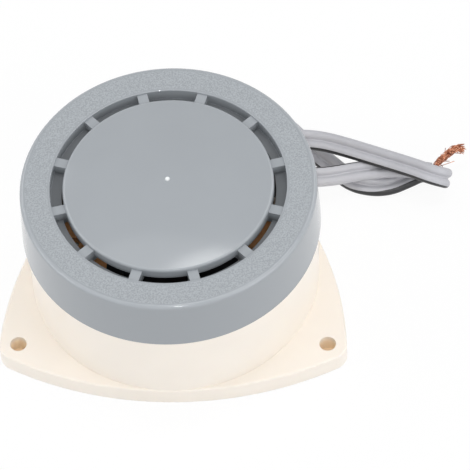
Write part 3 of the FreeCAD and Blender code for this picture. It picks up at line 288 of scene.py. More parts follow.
# Screws, in millimetres: piece, node, radius, radius and height of the head, pitch, drive, length of the
# tip, angles about Z if not in corners, how many of the places, and whether they hang head down
SCREW_SETS = (
    ("cap_screw_set", "cap_screws", 1.4, 2.6, 2.0, 1.1, "cross", 2.4, (30, 150, 270), 3, True),
    ("plate_screw_set", "plate_screws", 1.3, 2.5, 1.8, 1.05, "cross", 2.0, (90, 210, 330), 3, False),
    ("clamp_screw_set", "clamp_screws", 1.2, 2.0, 1.4, 0.5, "slot", 0.0, None, 2, False),
    ("cord_clamp_screw_set", "cord_clamp_screws", 1.0, 1.8, 1.2, 0.9, "cross", 1.6, None, 2, False),
    ("stop_screw", "adjusting_screw", 1.5, 1.5, 0.0, 0.5, "slot", 0.8, None, 1, False),
)

# Rivets, in millimetres: piece, node, radius, radius and height of the head, radius of the foot, how many
RIVET_SETS = (
    ("frame_rivet_set", "frame_rivets", 1.2, 2.1, 0.8, 1.7, 4),
    ("reed_rivet_set", "reed_rivets", 1.2, 2.0, 0.9, 0.0, 2),
    ("tag_rivet_set", "tag_rivets", 1.0, 1.6, 0.5, 0.0, 2),
)

# Lock nut: a hexagon whose corners are turned off at both faces
NUT_AROUND = 72
NUT_LEVELS = (0.0, 0.12, 0.25, 0.45)
NUT_BORE = 1.53 * MM
NUT_CHAMFER = 0.25 * MM
NUT_FACE = 0.97
NUT_SLOPE = 1.73

# Coil: rounded rectangular rings
CORNER_STEPS = 8
STEPS_PER_TURN = 4
TIGHTEST_CORNER = 0.3 * MM
LAP_SHARE = 0.3

# Grommet in millimetres: reach from the axis and radius of its outside, then of its bore's lips
GROMMET_AROUND = 48
GROMMET_BORE_HALF_LENGTH = 2.68 * MM
GROMMET_BORE_HALF_WIDTH = 1.38 * MM
GROMMET_OUTSIDE = (
    (32.35, 4.3), (32.5, 4.62), (32.75, 4.7), (33.2, 4.7), (33.45, 4.55), (33.55, 4.2), (33.55, 3.3),
    (36.65, 3.3), (36.65, 4.2), (36.75, 4.55), (37.0, 4.7), (37.45, 4.7), (37.7, 4.62), (37.85, 4.3),
)
GROMMET_INNER_LIP = (32.35, 0.25)
GROMMET_BORE = ((37.85, 0.25), (37.6, 0.0), (32.6, 0.0))
NEARLY_FLAT = 0.01


def placed(name, data):
    """A new object with this data in the scene."""
    made = bpy.data.objects.new(name, data)
    bpy.context.scene.collection.objects.link(made)
    return made


def on_circle(radius, angle, height=0.0):
    """A point at this radius and angle about Z."""
    return Vector((radius * math.cos(angle), radius * math.sin(angle), height))


def round_angles(around):
    """Equal steps of angle round a circle."""
    return [2 * math.pi * step / around for step in range(around)]


def make_camera():
    data = bpy.data.cameras.new("photo_camera")
    data.lens = CAMERA_LENS
    data.sensor_width = CAMERA_SENSOR
    data.sensor_fit = "HORIZONTAL"
    data.clip_end = CAMERA_FAR
    camera = placed("photo_camera", data)
    camera.location = CAMERA_PLACE
    facing = (CAMERA_AIM - CAMERA_PLACE).to_track_quat("-Z", "Y")
    camera.rotation_mode = "QUATERNION"
    camera.rotation_quaternion = facing @ Quaternion(UP, CAMERA_ROLL)
    bpy.context.scene.camera = camera


# Node chains that the world, the floor and the finishes share
class Nodes:
    """A node tree and the chains that are built in it."""

    def __init__(self, tree):
        self.tree = tree
        self.place = None

    def node(self, kind, inputs=None, **settings):
        """A new node with these inputs and settings."""
        made = self.tree.nodes.new(kind)
        for key, value in settings.items():
            setattr(made, key, value)
        return self.fill(made, inputs or {})

    def fill(self, node, inputs):
        for key, value in inputs.items():
            self.feed(node.inputs[key], value)
        return node

    def feed(self, socket, value):
        if isinstance(value, bpy.types.NodeSocket):
            self.tree.links.new(value, socket)
        else:
            socket.default_value = value

    def maths(self, operation, first, second=0.0, clamp=False):
        inputs = {0: first, 1: second}
        return self.node("ShaderNodeMath", inputs, operation=operation, use_clamp=clamp).outputs[0]

    def vector(self, operation, first, second):
        return self.node("ShaderNodeVectorMath", {0: first, 1: second}, operation=operation).outputs[0]

    def times(self, first, *others):
        """The product of several values."""
        for other in others:
            first = self.maths("MULTIPLY", first, other)
        return first

    def mixed(self, factor, first, second):
        """A colour between the first one at 0 and the second one at 1."""
        ends = [end if isinstance(end, bpy.types.NodeSocket) else (*end, 1) for end in (first, second)]
        inputs = {"Factor": factor, 6: ends[0], 7: ends[1]}
        return self.node("ShaderNodeMix", inputs, data_type="RGBA").outputs[2]

    def where(self):
        """The place on the object, from one node for the whole tree."""
        if self.place is None:
            self.place = self.node("ShaderNodeTexCoord").outputs["Object"]
        return self.place

    def distance(self, centre=(0, 0, 0)):
        """Distance from an upright axis through the centre."""
        flat = self.vector("MULTIPLY", self.vector("SUBTRACT", self.where(), centre), (1, 1, 0))
        return self.node("ShaderNodeVectorMath", {0: flat}, operation="LENGTH").outputs["Value"]

    def seen_directly(self):
        """A value of 1 for camera, glossy and transmission rays, and 0 for the rest."""
        path = self.node("ShaderNodeLightPath")
        total = path.outputs["Is Camera Ray"]
        for name in ("Is Glossy Ray", "Is Transmission Ray"):
            total = self.maths("ADD", total, path.outputs[name], clamp=True)
        return total

    def blended(self, factor, first, second, output):
        """Feeds the output with one shader at 0 and another at 1."""
        mix = self.node("ShaderNodeMixShader", {"Fac": factor, 1: first.outputs[0], 2: second.outputs[0]})
        self.feed(self.tree.nodes[output].inputs["Surface"], mix.outputs[0])


def make_world():
    world = bpy.data.worlds.new("studio")
    bpy.context.scene.world = world
    world.use_nodes = True
    made = Nodes(world.node_tree)
    room = world.node_tree.nodes["Background"]
    white = made.node("ShaderNodeBackground")
    for shader, colour, strength in ((room, ROOM_COLOUR, ROOM_LEVEL), (white, WHITE, 1.0)):
        made.fill(shader, {"Color": (*colour, 1), "Strength": strength})
    made.blended(made.seen_directly(), room, white, "World Output")


def hole_centre(angle):
    return on_circle(HOLE_CIRCLE, math.radians(angle))


def make_floor():
    """A pale floor that looks white, takes the object's shadow and stays unlit inside the fixing holes,
    where its colour is painted with warm light.
    """
    mesh = bpy.data.meshes.new("floor")
    corners = [(x * FLOOR_REACH, y * FLOOR_REACH, FLOOR_LEVEL) for x, y in SQUARE]
    mesh.from_pydata(corners, [], [(0, 1, 2, 3)])
    floor = placed("floor", mesh)
    paint = bpy.data.materials.new("floor_white")
    paint.use_nodes = True
    made = Nodes(paint.node_tree)
    made.tree.nodes.remove(made.tree.nodes["Principled BSDF"])
    glowing = made.times(made.seen_directly(), FLOOR_GLOW)
    colour = FLOOR_COLOUR
    # Painted warm light on the floor inside each fixing hole, where the glow is off
    for angle in HOLE_ANGLES:
        clear = made.maths("GREATER_THAN", made.distance(hole_centre(angle)), HOLE_CLEARANCE)
        glowing = made.times(glowing, clear)
        colour = made.mixed(clear, HOLE_FLOOR_PAINTED_LIGHT, colour)
    matte = made.node("ShaderNodeBsdfDiffuse", {"Color": colour})
    glow = made.node("ShaderNodeEmission", {"Color": (*WHITE, 1)})
    made.blended(glowing, matte, glow, "Material Output")
    mesh.materials.append(paint)


def make_light(name, place, size, power, turn):
    """A soft oval lamp that faces the object."""
    data = bpy.data.lights.new(name, "AREA")
    data.shape = "ELLIPSE"
    data.size, data.size_y = size
    data.energy = power
    light = placed(name, data)
    light.location = place
    back = Vector(place).normalized()
    upright = back.cross(on_circle(1.0, math.radians(turn))).normalized()
    light.rotation_mode = "QUATERNION"
    light.rotation_quaternion = Matrix((upright.cross(back), upright, back)).transposed().to_quaternion()


def make_studio():
    make_world()
    make_floor()
    for lamp in LAMPS:
        make_light(*lamp)
    bpy.context.scene.view_settings.view_transform = "Standard"


class Finish(Nodes):
    """One material: a Principled shader and the chains that vary its colour, gloss and relief."""

    def __init__(self, name, colour, roughness, metallic=0.0):
        self.material = bpy.data.materials.new(name)
        self.material.use_nodes = True
        super().__init__(self.material.node_tree)
        self.shader = self.tree.nodes["Principled BSDF"]
        self.fill(self.shader, {"Base Color": (*colour, 1), "Roughness": roughness, "Metallic": metallic})
        self.colour = colour

    def noise(self, scale, detail=2.0, rough=0.5, stretch=None):
        place = self.vector("MULTIPLY", self.where(), stretch) if stretch else self.where()
        inputs = {"Vector": place, "Scale": scale, "Detail": detail, "Roughness": rough}
        return self.node("ShaderNodeTexNoise", inputs).outputs["Fac"]

    def between(self, value, low, high, out_low=0.0, out_high=1.0):
        inputs = {"Value": value, "From Min": low, "From Max": high, "To Min": out_low, "To Max": out_high}
        return self.node("ShaderNodeMapRange", inputs, interpolation_type="SMOOTHSTEP").outputs["Result"]

    def rises(self, value, origin, fade):
        """From 0 to 1 between the two distances of the fade beyond the origin."""
        return self.between(value, origin + fade[0], origin + fade[1])

    def falls(self, value, origin, fade):
        """From 1 to 0 between the two distances of the fade beyond the origin."""
        return self.between(value, origin + fade[0], origin + fade[1], 1.0, 0.0)

    def spread(self, noise, low=0.0, high=1.0):
        """The noise's middle range, spread from low to high."""
        return self.between(noise, NOISE_LOW, NOISE_HIGH, low, high)

    def clouds(self, scale, detail=3.0, low=0.0, high=1.0):
        return self.spread(self.noise(scale, detail), low, high)

    def height(self):
        return self.node("ShaderNodeSeparateXYZ", {0: self.where()}).outputs["Z"]

    def drifting(self, scale, amount):
        """The colour, drifting a little lighter and darker."""
        ends = [shade(self.colour, factor) for factor in (1 - amount, 1 + amount)]
        return self.mixed(self.clouds(scale), *ends)

    def paint(self, value):
        self.feed(self.shader.inputs["Base Color"], value)

    def gloss(self, value):
        self.feed(self.shader.inputs["Roughness"], value)

    def relief(self, value, depth, strength, before=None):
        """Raises and sinks the surface by a depth in millimetres, over the relief that comes before."""
        inputs = {"Strength": strength, "Distance": depth * MM, "Height": value}
        if before is not None:
            inputs["Normal"] = before
        normal = self.node("ShaderNodeBump", inputs).outputs["Normal"]
        self.feed(self.shader.inputs["Normal"], normal)
        return normal

    def seeping(self, weight, radius):
        """Lets light seep through the surface."""
        self.fill(self.shader, {
            "Subsurface Weight": weight, "Subsurface Radius": radius, "Subsurface Scale": 1.0,
        })


def shade(colour, factor):
    return [part * factor for part in colour]


# Finishes of the material slots, the tracer and the solder
def cream_moulding():
    """Cream plastic that lets a little light seep through, with painted warm light on the walls of the
    fixing holes.
    """
    made = Finish("cream_moulding", CREAM, roughness=0.34)
    skin = made.drifting(scale=60, amount=0.012)
    deep = made.falls(made.height(), FLANGE_LEVEL, HOLE_DEPTH_FADE)
    # Painted warm light on the walls of the fixing holes, fading with depth and away from each wall
    for angle in HOLE_ANGLES:
        wall = made.falls(made.distance(hole_centre(angle)), HOLE_RADIUS, HOLE_WALL_FADE)
        skin = made.mixed(made.times(wall, deep), skin, HOLE_WALL_PAINTED_LIGHT)
    made.paint(skin)
    made.gloss(made.clouds(scale=220, low=0.30, high=0.38))
    made.relief(made.noise(scale=900), depth=0.010, strength=0.4)
    made.seeping(weight=0.08, radius=(0.0012, 0.0009, 0.0006))
    return made.material


def grey_moulding():
    """Smooth grey plastic with a spark-eroded grain on the ring's flat top only, painted shade in the
    groove and on the skirt, and painted highlight lines along the rims.
    """
    low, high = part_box("cap")
    rim = (high.x - low.x) / 2
    ring_inner = rim - RING_WIDTH
    ring_outer = rim - CAP_TAPER - RING_BORDER
    ring_level = high.z - DISC_RISE
    disc_radius = ring_inner - SLOT_WIDTH - LEDGE_WIDTH - GROOVE_WALL
    made = Finish("grey_moulding", GREY, GREY_ROUGHNESS)
    reach = made.distance()
    height = made.height()
    ring = made.times(
        made.rises(reach, ring_inner, GRAIN_INSIDE),
        made.falls(reach, ring_outer, GRAIN_OUTSIDE),
        made.maths("GREATER_THAN", height, ring_level - GRAIN_DROP),
    )
    pits = made.noise(scale=2600, rough=0.6)
    specks = made.mixed(made.between(pits, *PIT_RANGE), PIT_DARK, PIT_LIGHT)
    skin = made.mixed(ring, made.drifting(scale=45, amount=0.015), specks)
    groove = made.times(
        made.rises(reach, ring_inner, GROOVE_INSIDE),
        made.falls(reach, ring_inner, GROOVE_OUTSIDE),
        made.falls(height, ring_level, GROOVE_SINK),
    )
    # Painted shade: the groove's floor at half the grey
    skin = made.mixed(groove, skin, shade(GREY, GROOVE_PAINTED_SHADE))
    # Painted shade: the skirt a little darker than the top
    skirt = made.times(made.rises(reach, rim, SKIRT_SIDE), made.falls(height, ring_level, SKIRT_TOP))
    skin = made.mixed(skirt, skin, shade(GREY, SKIRT_PAINTED_SHADE))
    # Painted highlights: lighter lines along the rims of the disc and the ring
    for edge, (inset, rise, fade) in ((disc_radius, DISC_RIM_HIGHLIGHT), (rim - CAP_TAPER, RING_RIM_HIGHLIGHT)):
        apart = made.maths("ABSOLUTE", made.maths("SUBTRACT", reach, edge - inset))
        painted_highlight = made.times(made.falls(apart, 0.0, fade), made.rises(height, ring_level + rise, RIM_HIGHLIGHT_DROP))
        skin = made.mixed(painted_highlight, skin, shade(GREY, RIM_PAINTED_HIGHLIGHT))
    gate = made.times(
        made.falls(made.distance(GATE_PLACE), 0.0, GATE_EDGE),
        made.maths("GREATER_THAN", height, high.z - GATE_DROP),
    )
    made.paint(made.mixed(gate, skin, GATE_PALE))
    dull = made.maths("ADD", made.times(ring, RING_ROUGHNESS), made.times(groove, GROOVE_ROUGHNESS))
    made.gloss(made.maths("ADD", dull, GREY_ROUGHNESS))
    fine = made.relief(made.noise(scale=700), depth=0.004, strength=0.35)
    made.relief(made.times(pits, ring), depth=0.05, strength=0.7, before=fine)
    return made.material


def phenolic_board():
    made = Finish("phenolic_board", BOARD, roughness=0.42)
    fibres = made.noise(scale=1100, detail=5, rough=0.6, stretch=(1.0, 0.35, 1.0))
    made.paint(made.mixed(made.spread(fibres), BOARD_DARK, BOARD_LIGHT))
    made.gloss(made.spread(fibres, low=0.34, high=0.52))
    made.relief(fibres, depth=0.02, strength=0.5)
    return made.material


def lamination_steel():
    """Plates of half a millimetre, stacked along Y."""
    made = Finish("lamination_steel", LAMINATION, roughness=0.42, metallic=0.9)
    stripe = made.node(
        "ShaderNodeTexWave", {"Vector": made.where(), "Scale": LAMINATION_SCALE},
        wave_type="BANDS", bands_direction="Y", wave_profile="TRI")
    edge = made.between(stripe.outputs["Fac"], 0.0, LAMINATION_EDGE)
    rust = made.between(made.noise(scale=380, detail=4), *RUST_RANGE)
    made.paint(made.mixed(edge, LAMINATION_GAP, made.mixed(rust, LAMINATION, RUST)))
    made.relief(edge, depth=0.08, strength=0.8)
    return made.material


def simple_finish(name, colour, roughness, metallic=0.0, drift=None, cloud=None, grain=None, seeping=None):
    """A finish with drifting colour, cloudy gloss, fine relief and seeping light, where given."""
    made = Finish(name, colour, roughness, metallic)
    if drift:
        made.paint(made.drifting(**drift))
    if cloud:
        made.gloss(made.clouds(**cloud))
    if grain:
        depth, strength, noise = grain
        made.relief(made.noise(**noise), depth, strength)
    if seeping:
        made.seeping(**seeping)
    return made.material


def bright_metal(name, colour, roughness, along=(1.0, 12.0, 1.0)):
    """Plated or rolled metal with fine lines and cloudy gloss."""
    made = Finish(name, colour, roughness, metallic=1.0)
    lines = made.noise(scale=420, detail=4, rough=0.6, stretch=along)
    made.paint(made.mixed(made.spread(lines), *[shade(colour, factor) for factor in METAL_SHADES]))
    made.gloss(made.clouds(300, 4, *[roughness * factor for factor in METAL_GLOSS]))
    made.relief(lines, depth=0.01, strength=0.5)
    return made.material


def flex_sheath(name, colour):
    """Soft extruded insulation, a little waxy, with faint handling marks."""
    return simple_finish(
        name, colour, 0.40,
        drift=dict(scale=150, amount=0.035),
        cloud=dict(scale=420, low=0.34, high=0.50),
        grain=(0.03, 0.4, dict(scale=520, detail=3)),
        seeping=dict(weight=0.06, radius=(0.0006, 0.0006, 0.0007)),
    )


def copper():
    made = Finish("copper", COPPER, roughness=0.36, metallic=0.9)
    made.paint(made.mixed(made.clouds(scale=900), COPPER_DARK, COPPER_LIGHT))
    made.gloss(made.clouds(scale=1300, detail=2, low=0.24, high=0.46))
    return made.material


SIMPLE_FINISHES = {
    "black_steel": dict(
        colour=(0.018, 0.018, 0.020), roughness=0.38, metallic=0.35, drift=dict(scale=300, amount=0.25),
        cloud=dict(scale=500, detail=4, low=0.28, high=0.48), grain=(0.02, 0.4, dict(scale=1600, detail=3)),
    ),
    "bobbin_plastic": dict(
        colour=(0.02, 0.02, 0.022), roughness=0.45, drift=dict(scale=200, amount=0.2),
        grain=(0.01, 0.5, dict(scale=1200)),
    ),
    "enamelled_wire": dict(
        colour=(0.50, 0.19, 0.07), roughness=0.28, metallic=0.85, drift=dict(scale=500, amount=0.2),
    ),
    "coil_tape": dict(
        colour=(0.72, 0.52, 0.12), roughness=0.34, drift=dict(scale=120, amount=0.08),
        cloud=dict(scale=260, low=0.24, high=0.46),
        grain=(0.05, 0.6, dict(scale=160, detail=3, stretch=(1, 1, 4))),
    ),
    "grommet_rubber": dict(
        colour=(0.025, 0.025, 0.026), roughness=0.62, drift=dict(scale=400, amount=0.25),
        grain=(0.02, 0.6, dict(scale=1400, detail=3)),
    ),
    "solder": dict(
        colour=(0.62, 0.62, 0.63), roughness=0.22, metallic=1.0, drift=dict(scale=700, amount=0.12),
        grain=(0.03, 0.5, dict(scale=900, detail=3)),
    ),
}
MATERIALS = {name: simple_finish(name, **recipe) for name, recipe in SIMPLE_FINISHES.items()}
MATERIALS.update({
    "cream_moulding": cream_moulding(),
    "grey_moulding": grey_moulding(),
    "phenolic_board": phenolic_board(),
    "lamination_steel": lamination_steel(),
    "plated_steel": bright_metal("plated_steel", (0.60, 0.58, 0.52), 0.30),
    "spring_steel": bright_metal("spring_steel", (0.46, 0.46, 0.47), 0.24, along=(12.0, 1.0, 1.0)),
    "screw_steel": bright_metal("screw_steel", (0.56, 0.56, 0.55), 0.26, along=(1.0, 1.0, 6.0)),
    "tinned_brass": bright_metal("tinned_brass", (0.66, 0.60, 0.46), 0.32),
    "flex_sheath": flex_sheath("flex_sheath", (0.47, 0.47, 0.50)),
    "flex_tracer": flex_sheath("flex_tracer", (0.020, 0.020, 0.022)),
    "core_sleeve": flex_sheath("core_sleeve", (0.05, 0.05, 0.055)),
    "copper": copper(),
})
SLOT_OF = {row["node"]: row["material_slot"] for row in frame["record"]["subparts"]}
BODY_OF = {
    node: body for body, members in frame["record"]["behaviour"]["bodies"].items() for node in members
}


def dress_nodes():
    """Gives each node the finish of its slot."""
    for name, node in frame["nodes"].items():
        node.data.materials.clear()
        node.data.materials.append(MATERIALS[SLOT_OF[name]])


# Meshes
def smooth_mesh(name, points, faces, material):
    mesh = bpy.data.meshes.new(name)
    mesh.from_pydata([tuple(point) for point in points], [], faces)
    mesh.materials.append(material)
    mesh.polygons.foreach_set("use_smooth", [True] * len(mesh.polygons))
    mesh.update()
    return mesh


def new_piece(name, points, faces, node):
    """Makes a mesh that rides on the node's body and stands for the node."""
    mesh = smooth_mesh(name, points, faces, MATERIALS[SLOT_OF[node]])
    mesh.set_sharp_from_angle(angle=CREASE)
    piece = placed(name, mesh)
    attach(piece, BODY_OF[node])
    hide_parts(node)
    return piece


def tube_faces(rings, around, looped=False):
    """Quads between rings of points; a face closes each end, or the last ring joins the first."""
    faces = []
    for ring in range(rings if looped else rings - 1):
        here = ring * around
        there = (ring + 1) % rings * around
        for step in range(around):
            following = (step + 1) % around
            faces.append((here + step, here + following, there + following, there + step))
    if not looped:
        last = (rings - 1) * around
        faces += [tuple(reversed(range(around))), tuple(range(last, last + around))]
    return faces


def merged(solids):
    """Points and faces of several solids as one mesh."""
    points = []
    faces = []
    for some_points, some_faces in solids:
        first = len(points)
        points += some_points
        faces += [tuple(first + corner for corner in face) for face in some_faces]
    return points, faces


def add_spline(data, places):
    """Adds a NURBS spline with these control points."""
    spline = data.splines.new("NURBS")
    spline.points.add(len(places) - 1)
    for point, place in zip(spline.points, places):
        point.co = (*place, 1)
    spline.order_u = 3
    spline.use_endpoint_u = True


def spline_points(controls, steps):
    """Points of the NURBS spline with these control points."""
    data = bpy.data.curves.new("route", "CURVE")
    data.dimensions = "3D"
    add_spline(data, controls)
    data.resolution_u = steps
    holder = placed("route", data)
    bpy.context.view_layer.update()
    mesh = bpy.data.meshes.new_from_object(holder)
    points = [mesh.vertices[0].co.copy()]
    for vertex in mesh.vertices:
        if (vertex.co - points[-1]).length > SAME_PLACE:
            points.append(vertex.co.copy())
    bpy.data.objects.remove(holder)
    bpy.data.curves.remove(data)
    bpy.data.meshes.remove(mesh)
    return points


def directions(points):
    """Unit tangents at the points of a line."""
    last = len(points) - 1
    return [(points[min(last, at + 1)] - points[max(0, at - 1)]).normalized() for at in range(last + 1)]


# Free twin flex and the copper at its end
def flex_profile():
    """Outline of the twin flex as (width, thickness, angle about the marked lobe or None)."""
    seam = math.asin(WEB_HALF_THICKNESS / LOBE_RADIUS)
    sweep = 2 * (math.pi - seam)
    outline = []
    for start, middle, marked in ((-sweep / 2, LOBE_SPREAD, True), (seam, -LOBE_SPREAD, False)):
        for step in range(LOBE_STEPS + 1):
            angle = start + sweep * step / LOBE_STEPS
            width = middle + LOBE_RADIUS * math.cos(angle)
            outline.append((width, LOBE_RADIUS * math.sin(angle), math.degrees(angle) if marked else None))
    return outline


def flex_frames(points, controls, hints):
    """Directions of the flex's width and thickness, turning from hint to hint."""
    marks = []
    start = 0
    for control in controls:
        start = min(range(start, len(points)), key=lambda place: (points[place] - control).length)
        marks.append(start)
    marks[0] = 0
    marks[-1] = len(points) - 1
    widths = []
    for place in range(len(points)):
        after = next(number for number, mark in enumerate(marks) if mark >= place)
        before = max(0, after - 1)
        span = marks[after] - marks[before]
        share = (place - marks[before]) / span if span else 0.0
        share = share * share * (3 - 2 * share)
        widths.append(hints[before].lerp(hints[after], share))
    last = len(widths) - 1
    for turn in range(SMOOTHING_ROUNDS):
        widths = [
            (widths[max(0, place - 1)] + widths[place] * 2 + widths[min(last, place + 1)]) / 4
            for place in range(last + 1)
        ]
    frames = []
    for tangent, width in zip(directions(points), widths):
        across = (width - tangent * width.dot(tangent)).normalized()
        frames.append((across, tangent.cross(across).normalized()))
    return frames


def make_flex():
    controls = [MOUTH, MOUTH + OUTWARD * FLEX_LEAD] + [Vector(place) for place, hint in FLEX_ROUTE]
    hints = [MOUTH_HINT] * 2 + [Vector(hint) for place, hint in FLEX_ROUTE]
    controls = [place * MM for place in controls]
    points = spline_points(controls, FLEX_STEPS)
    frames = flex_frames(points, controls, hints)
    outline = flex_profile()
    vertices = []
    for point, (across, up) in zip(points, frames):
        vertices += [point + across * width + up * thick for width, thick, angle in outline]
    around = len(outline)
    flex = new_piece("twin_flex", vertices, tube_faces(len(points), around), "flex_cord")
    flex.data.materials.append(MATERIALS["flex_tracer"])
    marked = [angle is not None and TRACER_FROM <= angle <= TRACER_TO for width, thick, angle in outline]
    for number in range((len(points) - 1) * around):
        step = number % around
        if marked[step] and marked[(step + 1) % around]:
            flex.data.polygons[number].material_index = 1
    length = sum((after - before).length for before, after in zip(points, points[1:]))
    return flex, points, frames, length


def strand_path(shuffle, number, side, core, heading, across, up):
    """Control points of one strand, in the bundle or astray from it."""
    angle = shuffle.uniform(0, 2 * math.pi)
    reach = math.sqrt(shuffle.random()) * CORE_COPPER
    offset = (across * math.cos(angle) + up * math.sin(angle)) * reach
    path = [core + offset, core + heading * STRAND_STRAIGHT + offset]
    turn = shuffle.uniform(*TWIST) * shuffle.choice((-1, 1))
    girth = math.sqrt(shuffle.uniform(*BUNDLE_SHARE)) * BUNDLE_RADIUS
    for step, place in enumerate(STRAND_ROUTE):
        twist = angle + turn * step + shuffle.uniform(*TWIST_JITTER)
        sway = across * math.cos(twist) + up * math.sin(twist) + heading * shuffle.uniform(*SWAY)
        path.append(Vector(place) * MM + across * side * CORE_OFFSET + sway * girth)
    if number >= STRAY_STRANDS:
        return path + [path[-1] + heading * shuffle.uniform(*TIP_REACH) * MM]
    path = path[:shuffle.randint(STRAY_LEAVES, len(path) - 2)]
    stray = Vector([shuffle.uniform(*span) for span in STRAY_HEADING])
    for step in range(STRAY_STEPS):
        path.append(path[-1] + stray.normalized() * shuffle.uniform(*STRAY_REACH) * MM)
        stray += Vector((shuffle.uniform(*STRAY_BEND), shuffle.uniform(*STRAY_BEND), 0))
    return path


def make_strands(points, frames):
    """Twisted and frayed copper strands out of the two cores at the flex's end."""
    shuffle = random.Random(STRAND_SEED)
    tip = points[-1]
    heading = (tip - points[-3]).normalized()
    across, up = frames[-1]
    data = bpy.data.curves.new("copper_strands", "CURVE")
    data.dimensions = "3D"
    data.bevel_depth = STRAND_RADIUS
    data.bevel_resolution = STRAND_BEVEL_STEPS
    data.resolution_u = STRAND_STEPS
    data.use_fill_caps = True
    for side in (-1, 1):
        core = tip + across * LOBE_SPREAD * side - heading * STRAND_START
        for number in range(STRANDS_PER_CORE):
            path = strand_path(shuffle, number, side, core, heading, across, up)
            add_spline(data, [(place.x, place.y, max(place.z, STRAND_FLOOR)) for place in path])
    data.materials.append(MATERIALS["copper"])
    strands = placed("copper_strands", data)
    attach(strands, BODY_OF["bare_strands"])
    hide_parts("bare_strands")
    return strands


def make_cord():
    flex, points, frames, length = make_flex()
    strands = make_strands(points, frames)
    print(f"flex length {length * 1000:.1f} mm")


# Fasteners inside the case
def turned(profile, around=AROUND):
    """Points and faces of a profile of (radius, height) pairs, from the bottom up, turned about Z."""
    turns = round_angles(around)
    points = [on_circle(radius, angle, height) for radius, height in profile for angle in turns]
    return points, tube_faces(len(profile), around)


def threaded(radius, length, pitch, tip):
    """Points of a shank with one helical ridge that dies out at the top."""
    rings = round(length / pitch * RINGS_PER_PITCH)
    points = []
    for ring in range(rings + 1):
        height = length * ring / rings
        fade = max(0.0, min(1.0, (length - height) / pitch - THREAD_RUNOUT))
        taper = min(1.0, TIP_SHARE + (1 - TIP_SHARE) * height / tip) if tip else 1.0
        for step, angle in enumerate(round_angles(AROUND)):
            ridge = 1 - abs(2 * ((height / pitch - step / AROUND) % 1.0) - 1)
            points.append(on_circle((radius - THREAD_DEPTH * fade * (1 - ridge)) * taper, angle, height))
    return points


def head_profile(radius, height, side, bulge):
    """Profile of a head over its seat: the rows of its side, then a dome."""
    rows = [(radius * reach, height * level) for reach, level in side]
    base = side[-1][1]
    for step in range(1, DOME_STEPS + 1):
        turn = math.pi / 2 * step / DOME_STEPS
        level = base + (1 - base) * math.sin(turn)
        rows.append((radius * math.cos(turn) ** bulge + CROWN_RADIUS, height * level))
    return rows


def wedge(length, width, top, depth, turn):
    """A blade that narrows downwards, for one arm of a recess."""
    blade = []
    for level, share in ((top, 1.0), (top - depth, RECESS_TAPER)):
        for x, y in SQUARE:
            corner = Vector((x * length / 2 * share, y * width / 2 * (0.5 + share / 2), level))
            corner.rotate(Quaternion(UP, turn))
            blade.append(corner)
    faces = [(0, 1, 2, 3), (7, 6, 5, 4)]
    faces += [(4 + step, 4 + (step + 1) % 4, (step + 1) % 4, step) for step in range(4)]
    return blade, faces


def carved(solid, blades):
    """The solid less the blades, as points and faces."""
    holders = []
    for number, (points, faces) in enumerate([solid] + blades):
        mesh = bpy.data.meshes.new(f"blank{number}")
        mesh.from_pydata([tuple(point) for point in points], [], faces)
        work = bmesh.new()
        work.from_mesh(mesh)
        bmesh.ops.recalc_face_normals(work, faces=work.faces)
        work.to_mesh(mesh)
        work.free()
        holders.append(placed(f"blank{number}", mesh))
    for blade in holders[1:]:
        cut = holders[0].modifiers.new("cut", "BOOLEAN")
        cut.operation = "DIFFERENCE"
        cut.solver = "EXACT"
        cut.object = blade
    bpy.context.view_layer.update()
    graph = bpy.context.evaluated_depsgraph_get()
    result = bpy.data.meshes.new_from_object(holders[0].evaluated_get(graph))
    points = [vertex.co.copy() for vertex in result.vertices]
    faces = [tuple(face.vertices) for face in result.polygons]
    for holder in holders:
        mesh = holder.data
        bpy.data.objects.remove(holder)
        bpy.data.meshes.remove(mesh)
    bpy.data.meshes.remove(result)
    return points, faces


def screw(radius, shank, head_radius, head, pitch, drive, tip):
    """A screw that stands on its tip, with a cross or a slot in its head."""
    points = threaded(radius, shank, pitch, tip)
    if head:
        profile = head_profile(head_radius, head, PAN_SIDE, PAN_BULGE)
        points += [point + UP * shank for point in turned(profile)[0]]
    solid = (points, tube_faces(len(points) // AROUND, AROUND))
    length, width, turns = RECESSES[drive]
    depth = head_radius * SLOT_DEPTH if drive == "slot" else head * CROSS_DEPTH
    top = shank + head
    return carved(solid, [
        wedge(head_radius * length, head_radius * width, top + CUT_OVER, CUT_OVER + depth, turn)
        for turn in turns
    ])


def rivet(radius, shank, head_radius, head, foot):
    """A rivet with a domed head; a foot is its swaged lower end."""
    if foot:
        profile = [(foot * reach, level) for reach, level in FOOT_SHAPE]
        profile += [(foot * FOOT_TOP, head), (radius, head), (radius, shank)]
    else:
        profile = [(radius * RIVET_END, 0.0), (radius, RIVET_CHAMFER), (radius, shank)]
    dome = head_profile(head_radius, head, RIVET_SIDE, RIVET_BULGE)
    return turned(profile + [(reach, shank + level) for reach, level in dome])


def copies(name, node, template, places, flip=0.0):
    """One piece with the template at each place; a flip stands it on its head below that level."""
    points, faces = template
    if flip:
        points = [Vector((point.x, -point.y, flip - point.z)) for point in points]
    solids = [([point + place for point in points], faces) for place in places]
    return new_piece(name, *merged(solids), node)


def round_places(node, head, angles):
    """Places on a circle about the axis; the box reaches to the head nearest to X."""
    low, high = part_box(node)
    circle = (high.x - head) / math.cos(SCREW_LINE)
    return [on_circle(circle, math.radians(angle), low.z) for angle in angles]


def corner_places(node, head):
    """Places in the corners of the node's box, in two opposite ones first."""
    low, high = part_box(node)
    left, right = low.x + head, high.x - head
    front, back = low.y + head, high.y - head
    corners = ((left, back), (right, front), (left, front), (right, back))
    return [Vector((x, y, low.z)) for x, y in corners]


def tall(node):
    low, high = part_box(node)
    return high.z - low.z


